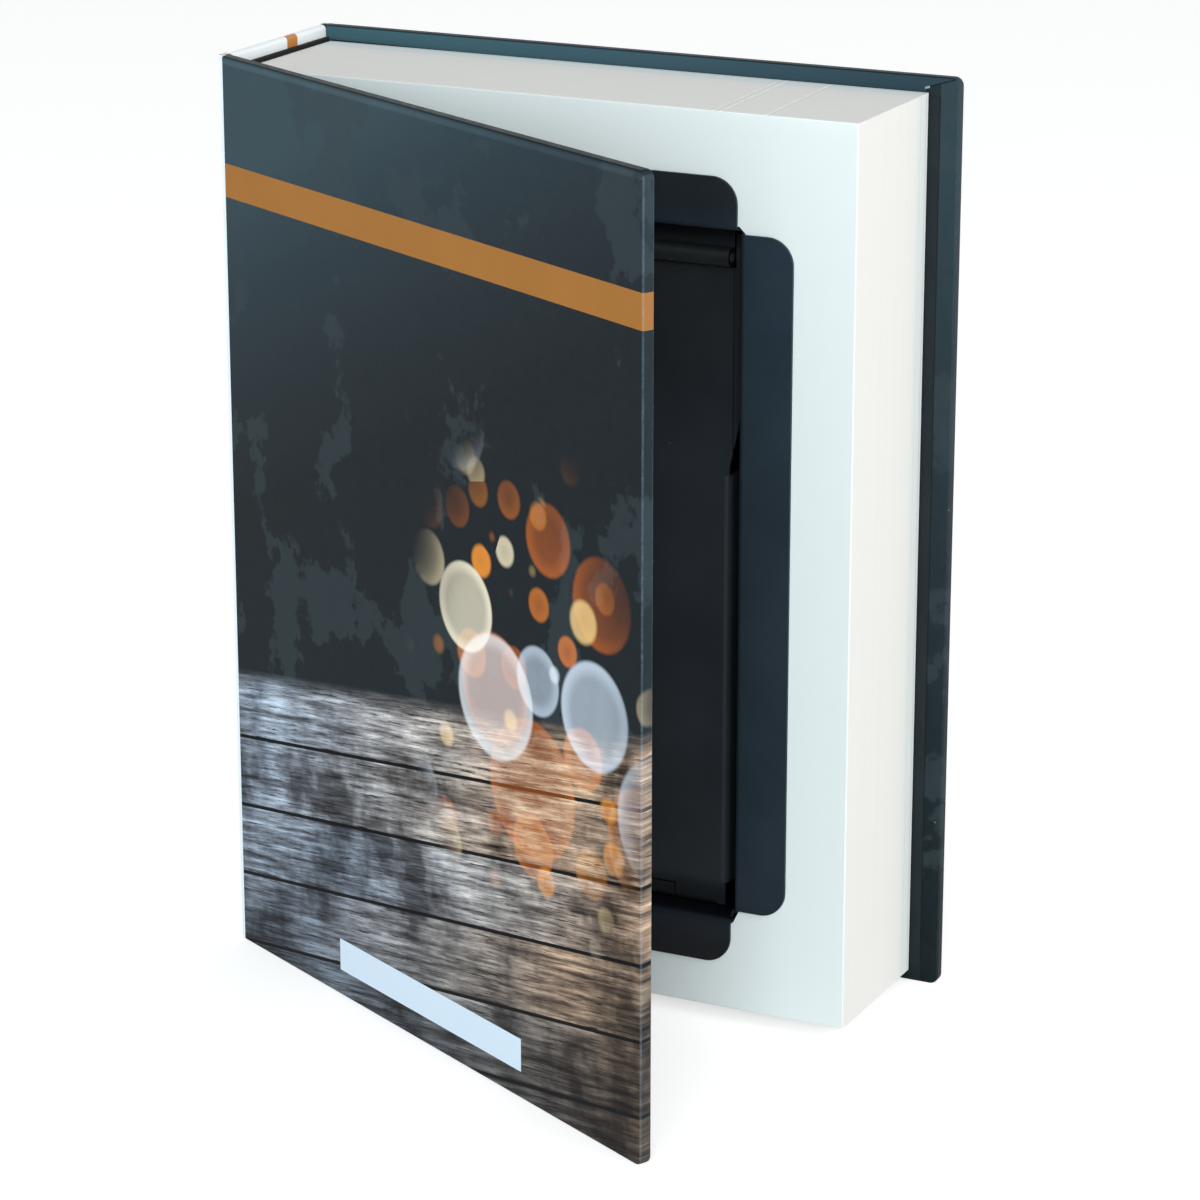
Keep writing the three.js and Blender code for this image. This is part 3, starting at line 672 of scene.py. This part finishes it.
bm = bmesh.new()
endpaper_sheet(bm)
bmesh.ops.scale(bm, verts=bm.verts, vec=(1, -1, 1))
bmesh.ops.translate(bm, verts=bm.verts, vec=(corner.x, back_face, 0))
facing(bm, (0, -1, 0))
finished("back_endpaper_sheet", bm, dark_endpaper, ["back_endpaper"], "book", 60,
         endpaper_thick)


# Steel tray: one sheet folded up into a floor, four walls and four flanges, powder-coated satin
# black. The walls meet in plain seams, with a narrow web across each foot corner, and the flanges
# have round outer corners.
sheet_thick = 0.9
well = {"left": 37.9, "right": 157.9, "foot": 30.6, "head": 228.5}
flange_face, floor_face = -1.2, 44.4
floor_bend, flange_bend = 1.2, 1.7
side_flange, head_flange, foot_flange = 15.6, 14.5, 13.2
flange_round = 7.5
foot_relief, head_relief, end_inset = 3.2, 0.7, 1.0
seam = 0.3
corner_rise, corner_run = 1.8, 0.3
web_top, web_end = (0.25, 2.3), (1.05, 0.25)
cut_edge_round = 0.12

bm = bmesh.new()
inner_left, inner_right = well["left"] + floor_bend, well["right"] - floor_bend
inner_foot, inner_head = well["foot"] + floor_bend, well["head"] - floor_bend
corners = [bm.verts.new(at(x, floor_face, z)) for x, z in (
    (inner_left, inner_foot + corner_rise), (inner_left + corner_run, inner_foot),
    (inner_right - corner_run, inner_foot), (inner_right, inner_foot + corner_rise),
    (inner_right, inner_head), (inner_left, inner_head))]
bm.faces.new(corners)
bm.edges.ensure_lookup_table()
# Each wall: its outward direction, the limits of its flange along the wall, and the flange's width
walls = (
    ((1, 0, 0), (well["foot"] + foot_relief, well["head"] - head_relief), side_flange),
    ((-1, 0, 0), (well["foot"] + foot_relief, well["head"] - head_relief), side_flange),
    ((0, 0, 1), (well["left"] + end_inset, well["right"] - end_inset), head_flange),
    ((0, 0, -1), (well["left"] + end_inset, well["right"] - end_inset), foot_flange),
)
for outward, (low, high), width in walls:
    outward = Vector(outward)
    along = Vector((abs(outward.z), 0, abs(outward.x)))
    axis = outward.cross(Vector((0, -1, 0)))
    side = max((edge for edge in bm.edges if all(abs(v.co.y - at(0, floor_face, 0).y) < 1e-6
                                                 for v in edge.verts)),
               key=lambda edge: middle_of(edge).dot(outward))
    middle = middle_of(side)
    before = set(bm.faces)
    edges = fold(bm, [side], middle + Vector((0, -floor_bend * mm, 0)), axis, 90, 4)
    edges = draw(bm, edges, (0, -floor_bend, 0))
    for vert in edges[0].verts:
        way = 1 if (vert.co - middle).dot(along) > 0 else -1
        vert.co += along * way * (floor_bend - seam) * mm
    wall_height = floor_face - 2 * floor_bend - flange_face - flange_bend
    edges = draw(bm, edges, (0, -wall_height, 0))
    wall = [face for face in bm.faces if face not in before]
    for limit in (low, high):
        corners_of = list({v for face in wall for v in face.verts})
        geom = wall + corners_of + list({e for face in wall for e in face.edges})
        bmesh.ops.bisect_plane(bm, geom=geom, plane_co=at(limit, 0, limit), plane_no=along)
        wall = [face for face in bm.faces if face not in before]
    top = at(0, flange_face + flange_bend, 0).y
    start, end = sorted((at(low, 0, low).dot(along), at(high, 0, high).dot(along)))
    edges = [edge for edge in bm.edges if len(edge.link_faces) == 1
             and all(abs(v.co.y - top) < 1e-6 for v in edge.verts)
             and abs((middle_of(edge) - middle).dot(outward) - floor_bend * mm) < 1e-5
             and start - 1e-6 < middle_of(edge).dot(along) < end + 1e-6
             and edge.calc_length() > 50 * mm]
    hub = edges[0].verts[0].co + outward * flange_bend * mm
    edges = fold(bm, edges, hub, axis, -90, 5)
    edges = draw(bm, edges, outward * (width - flange_bend))
    rounded(bm, list({v for e in edges for v in e.verts}), flange_round, 10, "VERTICES")
for side in (-1, 1):
    centre = (well["left"] + well["right"]) / 2
    half = (well["right"] - well["left"]) / 2
    edges = row(bm, *((centre + side * (half - inset), floor_face, well["foot"] + rise)
                      for inset, rise in (web_top, web_end)))
    draw(bm, edges, (0, -floor_face + 0.9, 0))
facing(bm, (0, -1, 0), [f for f in bm.faces if abs(f.normal.y) > 0.9])


def powder_coat(name, stops, inside, specular, shaded_end_x=-1.0):
    """Satin powder coat with a fine orange peel, soft clouds and a few specks of dust. Its tone
    goes by the height in the book, a ramp of painted light and shade; it is darker by a factor
    inside the well, as painted shade of the recess, and darkest on a cut end, as painted shade too."""
    material, tree, shader = surface(name, Specular_IOR_Level=specular)
    whole = stretched(tree)
    cloud = noise(tree, whole, 26.0, 4.0, 0.6)
    across, depth, height = in_book(tree, 1 / 0.265)
    # Painted shade of the well: the tone is darker by depth inside it.
    well_shade = ranged(tree, depth, -0.9, 2.6, 1.0, inside)
    shade = times(tree, well_shade, ranged(tree, cloud, 0.3, 0.7, 0.85, 1.15))
    grey = add(tree, "CombineColor", {0: shade, 1: shade, 2: shade}).outputs[0]
    tone = mixed(tree, 1.0, ramp(tree, height, stops), grey, "MULTIPLY")
    # Painted shade: a dark band across the cut end, over the light it would catch.
    shaded_cut_end = near(tree, across, shaded_end_x, 0.12)
    tone = mixed(tree, shaded_cut_end, tone, (0.0035, 0.0040, 0.0045))
    dust = specks(tree, whole, 210.0, 0.055, 0.90)
    coloured(tree, shader, mixed(tree, times(tree, dust, 0.35), tone, (0.25, 0.28, 0.31)))
    roughened(tree, shader, cloud, 0.38, 0.50)
    bumped(tree, shader, noise(tree, whole, 1300.0, 2.0, 0.5), 0.000018)
    return material


# The tray's height ramp is painted light: the foot and head flanges darker and less blue than the
# walls between.
tray_paint = powder_coat("black_paint_tray", (
    (0.08, (0.0080, 0.0085, 0.0110)), (0.14, (0.0165, 0.0255, 0.0350)),
    (0.50, (0.0210, 0.0325, 0.0440)), (0.85, (0.0205, 0.0340, 0.0470)),
    (0.89, (0.0155, 0.0205, 0.0255))), 0.25, 0.14)
finished("folded_tray", bm, tray_paint, ["steel_tray"], "book",
         thickness=sheet_thick, edge_round=cut_edge_round)


# Hinge: a painted steel leaf under the head wall, rolled round a plain pin in two outer knuckles,
# and held by three domed rivets.
lid_thick = 1.2
lid_mid = 8.3
hinge_y, hinge_z = 6.2, 219.6
knuckle_web = 3.6
leaf_head, leaf_back = 227.6, 27.7
leaf_bend = 1.4
tray_knuckles = ((43.3, 79.367), (116.433, 152.5))

# The lid's height ramp is painted shade: darker below the side skirts, darker towards the head, and
# near black on the hinge web under the tray's head flange.
lid_paint = powder_coat("black_paint_lid", ((0.136, (0.0150, 0.0170, 0.0195)),
        (0.147, (0.0270, 0.0310, 0.0365)), (0.60, (0.0285, 0.0335, 0.0420)),
        (0.80, (0.0195, 0.0215, 0.0245)), (0.835, (0.0160, 0.0185, 0.0205)),
        (0.85, (0.0050, 0.0055, 0.0060))), 1.0, 0.16, 152.5)
bm = bmesh.new()
webs = []
for left, right in tray_knuckles:
    edges = row(bm, (left, lid_mid, hinge_z), (right, lid_mid, hinge_z))
    fold(bm, edges, at(0, hinge_y, hinge_z), (1, 0, 0), -320, 28)
    webs.append(draw(bm, edges, (0, 0, knuckle_web)))
ends = sorted({v for web in webs for e in web for v in e.verts}, key=lambda v: v.co.x)
bridge = bm.edges.new((ends[1], ends[2]))
edges = draw(bm, [*webs[0], bridge, *webs[1]],
             (0, 0, leaf_head - leaf_bend - hinge_z - knuckle_web))
edges = fold(bm, edges, at(0, lid_mid + leaf_bend, leaf_head - leaf_bend), (1, 0, 0), -90, 5)
draw(bm, edges, (0, leaf_back - lid_mid - leaf_bend, 0))
bmesh.ops.remove_doubles(bm, verts=bm.verts, dist=1e-6)
bmesh.ops.recalc_face_normals(bm, faces=bm.faces)
finished("rolled_hinge_leaf", bm, lid_paint, ["hinge_leaf"], "book",
         thickness=lid_thick, offset=0.0, edge_round=cut_edge_round)

plain_steel, tree, shader = surface("plain_steel", Metallic=1.0)
scratch = noise(tree, stretched(tree, (600, 60, 600)), 1.0, 4.0, 0.6)
coloured(tree, shader, ramp(tree, scratch, ((0.3, (0.36, 0.37, 0.38)), (0.7, (0.52, 0.53, 0.54)))))
roughened(tree, shader, scratch, 0.28, 0.45)
bumped(tree, shader, scratch, 0.000008)
reused("hinge_pin", plain_steel)


def turned(bm, profile, centre, axis, steps):
    """Turns a profile once round an axis, as on a lathe."""
    bmesh.ops.spin(bm, geom=profile, cent=centre, axis=axis, dvec=(0, 0, 0), angle=2 * math.pi,
                   steps=steps, use_merge=True, use_duplicate=False)
    bmesh.ops.remove_doubles(bm, verts=bm.verts, dist=1e-7)
    bmesh.ops.recalc_face_normals(bm, faces=bm.faces)


def rivet(name, node, towards):
    """A domed rivet: shank from the solid, head turned about its own axis."""
    low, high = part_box(node)
    centre = (low + high) / 2
    shank, head, dome = 1.5 * mm, 2.8 * mm, 0.9 * mm
    far = low.z if towards > 0 else high.z
    seat_z = high.z - dome if towards > 0 else low.z + dome
    top = high.z if towards > 0 else low.z
    bm = bmesh.new()
    outline = [(0, far), (shank, far), (shank, seat_z), (head, seat_z),
               (head * 0.96, seat_z + towards * dome * 0.35),
               (head * 0.78, seat_z + towards * dome * 0.70),
               (head * 0.45, seat_z + towards * dome * 0.93), (0, top)]
    verts = [bm.verts.new((centre.x + radius, centre.y, z)) for radius, z in outline]
    edges = [bm.edges.new(pair) for pair in zip(verts, verts[1:])]
    turned(bm, edges, centre, (0, 0, 1), 28)
    finished(name, bm, plain_steel, [node], "book", 40)


for number in (1, 2, 3):
    rivet(f"domed_hinge_rivet_{number}", f"hinge_rivet_{number}", -1)


# Strike: a small steel angle riveted on the foot wall. Its lip stands in the lid's notch, and the
# cam of the lock turns behind it.
strike_left, strike_right = 60.5, 135.3
strike_web, strike_lip, strike_back = 31.5, 35.3, 21.7
strike_bend = 1.3

bm = bmesh.new()
edges = row(bm, (strike_left, lid_mid, strike_lip), (strike_right, lid_mid, strike_lip))
edges = draw(bm, edges, (0, 0, strike_web + strike_bend - strike_lip))
edges = fold(bm, edges, at(0, lid_mid + strike_bend, strike_web + strike_bend), (1, 0, 0), 90, 5)
draw(bm, edges, (0, strike_back - lid_mid - strike_bend, 0))
bmesh.ops.recalc_face_normals(bm, faces=bm.faces)
finished("folded_strike", bm, lid_paint, ["strike_plate"], "book",
         thickness=lid_thick, offset=0.0, edge_round=cut_edge_round)
for number in (1, 2):
    rivet(f"domed_strike_rivet_{number}", f"strike_rivet_{number}", 1)


# Lid: a steel plate as wide as the well at its head, with an ear beside each end of the hinge, and
# narrower below. Skirts are folded back along its sides and foot, a notch clears the strike, and a
# knuckle is rolled in the middle of its head.
well_centre = 97.9
lid_foot, lid_head = 31.3, 216.3
wide_half, narrow_half = 59.4, 53.4
waist, shoulder = 159.6, 186.0
ear_side, ear_head = 55.1, 226.0
skirt_foot, skirt_head = 37.7, 157.6
skirt_back, foot_skirt_back = 16.7, 14.9
beside_skirt = (60, 130)
lid_bend = 1.6
middle_knuckle_half = 18.03
notch_half, notch_head = 37.9, 35.8
foot_skirt_end = 50.8
lock_z = 51.5
lock_hole = 8.3

bm = bmesh.new()
side_points = [(notch_half, notch_head), (notch_half, lid_foot + lid_bend),
               (foot_skirt_end, lid_foot + lid_bend), (foot_skirt_end, lid_foot),
               (narrow_half, lid_foot), (narrow_half, skirt_foot),
               (narrow_half - lid_bend, skirt_foot), (narrow_half - lid_bend, skirt_head),
               (narrow_half, skirt_head), (narrow_half, waist), (wide_half, shoulder),
               (wide_half, ear_head), (ear_side, ear_head), (ear_side, lid_head),
               (middle_knuckle_half, lid_head)]
points = side_points + [(-x, z) for x, z in reversed(side_points)]
verts = [bm.verts.new(at(well_centre + x, lid_mid, z)) for x, z in points]
border = [bm.edges.new((verts[i], verts[(i + 1) % len(verts)])) for i in range(len(verts))]
upright = Matrix.Rotation(math.pi / 2, 3, "X").to_quaternion()
ring = bmesh.ops.create_circle(bm, cap_ends=False, segments=40, radius=lock_hole * mm,
                               matrix=Matrix.LocRotScale(at(well_centre, lid_mid, lock_z), upright,
                                                         None))
hole = list({e for v in ring["verts"] for e in v.link_edges})
bmesh.ops.triangle_fill(bm, use_beauty=True, use_dissolve=False, edges=border + hole,
                        normal=(0, -1, 0))


def lid_edge(x_range, z_range):
    """Free edges of the lid whose middle lies in a range about the lid's centre line."""
    found = []
    for edge in bm.edges:
        if len(edge.link_faces) != 1:
            continue
        spot = (middle_of(edge) - corner) / mm
        if (x_range[0] <= spot.x - well_centre <= x_range[1]
                and z_range[0] <= spot.z <= z_range[1]):
            found.append(edge)
    return found


for side in (1, -1):
    reach = side * (narrow_half - lid_bend)
    edges = lid_edge((reach - 0.01, reach + 0.01), beside_skirt)
    edges = fold(bm, edges, at(well_centre + reach, lid_mid + lid_bend, 0), (0, 0, 1), side * 90, 5)
    draw(bm, edges, (0, skirt_back - lid_mid - lid_bend, 0))
    middle = side * (notch_half + foot_skirt_end) / 2
    bend_foot = lid_foot + lid_bend
    edges = lid_edge((middle - 0.1, middle + 0.1), (bend_foot - 0.01, bend_foot + 0.01))
    edges = fold(bm, edges, at(0, lid_mid + lid_bend, lid_foot + lid_bend), (1, 0, 0), 90, 5)
    draw(bm, edges, (0, foot_skirt_back - lid_mid - lid_bend, 0))
edges = lid_edge((-1, 1), (lid_head - 0.01, lid_head + 0.01))
edges = draw(bm, edges, (0, 0, hinge_z - lid_head))
fold(bm, edges, at(0, hinge_y, hinge_z), (1, 0, 0), 320, 28)
bmesh.ops.recalc_face_normals(bm, faces=bm.faces)
facing(bm, (0, -1, 0), [f for f in bm.faces if abs(f.normal.y) > 0.9])
finished("folded_lid", bm, lid_paint, ["lid_panel"], "lid",
         thickness=lid_thick, offset=0.0, edge_round=cut_edge_round)


# Cam lock: a bright nickel housing through the lid with its nut behind, a plug with a key slot,
# brass wafers inside it, and a plain steel cam held by a slotted screw.
bright_nickel, tree, shader = surface("lock_nickel", Metallic=1.0)
polish = noise(tree, stretched(tree, (300, 300, 300)), 1.0, 3.0)
coloured(tree, shader, ramp(tree, polish, ((0.3, (0.60, 0.59, 0.56)), (0.7, (0.72, 0.71, 0.68)))))
roughened(tree, shader, polish, 0.14, 0.24)
bumped(tree, shader, polish, 0.000006)
wafer_brass, tree, shader = surface("wafer_brass", Metallic=1.0)
stamped = noise(tree, stretched(tree, (900, 900, 900)), 1.0, 3.0)
coloured(tree, shader, ramp(tree, stamped, ((0.3, (0.46, 0.29, 0.10)), (0.7, (0.60, 0.40, 0.16)))))
roughened(tree, shader, stamped, 0.30, 0.45)

housing_profile = ((6.15, 5.6), (9.7, 5.6), (10.2, 5.75), (10.45, 6.1), (10.5, 6.5), (10.5, 7.4),
                   (8.0, 7.4), (8.0, 22.9), (6.15, 22.9))
bm = bmesh.new()
verts = [bm.verts.new(at(well_centre + radius, y, lock_z)) for radius, y in housing_profile]
edges = [bm.edges.new((verts[i], verts[(i + 1) % len(verts)])) for i in range(len(verts))]
turned(bm, edges, at(well_centre, 0, lock_z), (0, 1, 0), 64)
finished("turned_lock_housing", bm, bright_nickel, ["lock_housing"], "lid")
reused("lock_plug", bright_nickel)
for node in ("lock_nut", "lock_cam", "lock_cam_screw"):
    reused(node, plain_steel)
for number in range(1, 6):
    reused(f"lock_wafer_{number}", wafer_brass)


# Paper joint between spine and front cover: a strip of the cover paper, white like the spine. It
# rolls over the cover's first edge where the dark print starts.
fold_y = -6.6
ajar = math.radians(28)
fold_round = 1.2
joint_start, joint_split = spine_front + 0.3, -5.0
joint_rows = 8

fold_reach = fold_round * math.tan((math.pi / 2 - ajar) / 2)
bm = bmesh.new()
edges = row(bm, (0, joint_start, 0), (0, joint_start, cover_height))
for _ in range(joint_rows):
    edges = draw(bm, edges, (0, (joint_split - joint_start) / joint_rows, 0))
facing(bm, (-1, 0, 0))
joint_paper = finished("joint_paper", bm, white_print, ["front_joint_strip"],
                       thickness=paper)
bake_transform(joint_paper)

bm = bmesh.new()
edges = row(bm, (0, joint_split, 0), (0, joint_split, cover_height))
edges = draw(bm, edges, (0, fold_y + fold_reach - joint_split, 0))
edges = fold(bm, edges, at(fold_round, fold_y + fold_reach, 0), (0, 0, 1), 90 - math.degrees(ajar),
    8)
facing(bm, (-1, 0, 0))
fold_paper = finished("fold_paper", bm, white_print, ["front_joint_strip"], None, 60,
                      paper)
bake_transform(fold_paper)


# Front cover: same make as the back one, standing ajar. Its print has a bronze band near the head,
# a blank pale plate near the foot, and a deck of weathered planks under soft round lights.
def front_print(tree, flat, across, inward, up, tone):
    """The front cover's design over the mottled slate."""
    slant = add(tree, "Mapping", {"Vector": flat, "Rotation": (0, math.radians(10), 0)}).outputs[0]
    place = add(tree, "SeparateXYZ", {0: slant})
    plank_width = 21.0
    rows = math_node(tree, "DIVIDE", place.outputs[2], plank_width)
    number = math_node(tree, "FLOOR", rows)
    within = math_node(tree, "FRACT", rows)
    shade = add(tree, "TexWhiteNoise", {"W": number}, noise_dimensions="1D").outputs[0]
    shifted = add(tree, "CombineXYZ", {0: math_node(tree, "MULTIPLY_ADD", shade, 400.0,
                                                    place.outputs[0]),
                                       2: place.outputs[2]}).outputs[0]
    grain = noise(tree, add(tree, "Mapping", {"Vector": shifted,
                "Scale": (0.030, 1, 0.50)}).outputs[0], 1.0, 9.0, 0.72)
    cracks = noise(tree, add(tree, "Mapping", {"Vector": shifted,
                "Scale": (0.045, 1, 1.3)}).outputs[0], 1.0, 8.0, 0.78)
    wood = ramp(tree, grain, ((0.32, (0.03, 0.03, 0.035)), (0.43, (0.17, 0.165, 0.17)),
                              (0.52, (0.42, 0.42, 0.43)), (0.64, (0.88, 0.90, 0.93))))
    wood = mixed(tree, ramp(tree, cracks, ((0.54, (0, 0, 0)), (0.60, (1, 1, 1)))), wood,
                 (0.014, 0.013, 0.014))
    tint = ramp(tree, math_node(tree, "MULTIPLY_ADD", across, 1 / cover_width,
            times(tree, shade, 0.30)), ((0.35, (0.74, 0.86, 1.0)), (0.75, (1.0, 0.92, 0.84)),
            (1.05, (1.0, 0.70, 0.48))))
    wood = mixed(tree, 1.0, wood, tint, "MULTIPLY")
    gap = more(tree, math_node(tree, "ABSOLUTE", math_node(tree, "SUBTRACT", within, 0.5)), 0.475)
    wood = mixed(tree, gap, wood, (0.004, 0.004, 0.005))
    relief = ramp(tree, noise(tree, flat, 0.028, 4.0, 0.6), (
        (0.40, (0.22, 0.22, 0.23)), (0.50, (0.75, 0.76, 0.78)), (0.60, (1.12, 1.12, 1.12))))
    wood = mixed(tree, 1.0, wood, relief, "MULTIPLY")
    dusk = ranged(tree, math_node(tree, "MULTIPLY_ADD", across, -0.10, up), -20.0, 55.0, 0.82, 0.0,
        "SMOOTHSTEP")
    wood = mixed(tree, dusk, wood, (0.010, 0.010, 0.011))
    deck = ranged(tree, place.outputs[2], 84.0, 76.0, 0.0, 1.0, "SMOOTHSTEP")
    tone = mixed(tree, deck, tone, wood)

    away = add(tree, "VectorMath", {0: flat, 1: (150, 0, 114)}, operation="SUBTRACT").outputs[0]
    away = add(tree, "VectorMath", {0: away, 1: (1 / 60, 1, 1 / 78)},
        operation="MULTIPLY").outputs[0]
    away = add(tree, "VectorMath", {0: away}, operation="LENGTH").outputs["Value"]
    nearness = ranged(tree, away, 1.0, 0.55, 0.0, 1.0, "SMOOTHSTEP")
    for size, strength, edge, shift in ((66.0, 0.8, 0.02, 23), (58.0, 0.85, 0.025, 57),
                                        (46.0, 0.95, 0.03, 31), (34.0, 0.9, 0.03, 77),
                                        (24.0, 0.9, 0.05, 11), (15.0, 1.0, 0.08, 5)):
        lights = add(tree, "TexVoronoi", {"Vector": add(tree, "Mapping", {
            "Vector": flat, "Location": (shift, 0, 3 * shift), "Scale": (1, 0, 1)}).outputs[0],
            "Scale": 1 / size, "Randomness": 0.9})
        dice = add(tree, "SeparateColor", {0: lights.outputs["Color"]})
        radius = math_node(tree, "MULTIPLY_ADD", dice.outputs[0], 0.24, 0.20)
        inside = math_node(tree, "SUBTRACT", radius, lights.outputs["Distance"])
        disc = ranged(tree, inside, 0.0, edge, 0.0, 1.0, "SMOOTHSTEP")
        ring = ranged(tree, inside, edge, 4 * edge, 1.0, 0.62, "SMOOTHSTEP")
        colour = ramp(tree, dice.outputs[1], ((0.10, (0.42, 0.10, 0.008)),
                (0.45, (0.85, 0.32, 0.025)), (0.74, (1.0, 0.58, 0.12)), (0.90, (1.0, 0.84, 0.56)),
                (1.00, (0.46, 0.60, 0.80))))
        share = times(tree, times(tree, disc, ring),
            times(tree, nearness, math_node(tree, "MULTIPLY_ADD", dice.outputs[2], 0.6 * strength,
                    0.42 * strength)))
        tone = mixed(tree, share, tone, colour, "SCREEN")

    band_up, band_half = 229.8, 4.8
    plate_across, plate_half_width = 100.2, 45.3
    plate_up, plate_half_height = 12.7, 4.8
    band = near(tree, up, band_up, band_half)
    band_tone = ramp(tree, noise(tree, flat, 0.05, 3.0), (
        (0.3, (0.340, 0.144, 0.034)), (0.7, (0.365, 0.155, 0.038))))
    tone = mixed(tree, band, tone, band_tone)
    plate = times(tree, near(tree, across, plate_across, plate_half_width),
        near(tree, up, plate_up, plate_half_height))
    plate = times(tree, plate, less(tree, inward, 1.0))
    return mixed(tree, plate, tone, (0.645, 0.755, 0.86))


fold_overlap = 5
turn = Matrix.Rotation(-ajar, 3, "Z")
front_fold = at(0, fold_y, 0)
bm = bmesh.new()
cover_shell(bm, -turn_in - fold_overlap)
slice_at(bm, Vector((fold_reach * mm, 0, 0)), (1, 0, 0), clear_inner=True)
bmesh.ops.rotate(bm, verts=bm.verts, matrix=turn)
bmesh.ops.translate(bm, verts=bm.verts, vec=front_fold)
facing(bm, turn @ Vector((0, -1, 0)))
# The front's slate grows lighter and bluer towards the upper left: a painted sheen.
front_material = cover_print("dark_print_front", -ajar, front_fold, 1, (-0.35, (
    (0.37, (0.010, 0.0145, 0.018)), (0.50, (0.012, 0.0155, 0.019)), (0.63, (0.019, 0.027, 0.033)),
    (0.74, (0.025, 0.041, 0.052)), (0.86, (0.041, 0.069, 0.084)))), 1.0, front_print)
finished("front_cover_paper", bm, front_material, ["front_cover_wrap"], "front_cover",
         thickness=paper)

bm = bmesh.new()
endpaper_sheet(bm)
bmesh.ops.rotate(bm, verts=bm.verts, matrix=turn)
bmesh.ops.translate(bm, verts=bm.verts, vec=front_fold)
facing(bm, turn @ Vector((0, 1, 0)))
finished("front_endpaper_sheet", bm, dark_endpaper, ["front_endpaper"],
         "front_cover", 60, endpaper_thick)
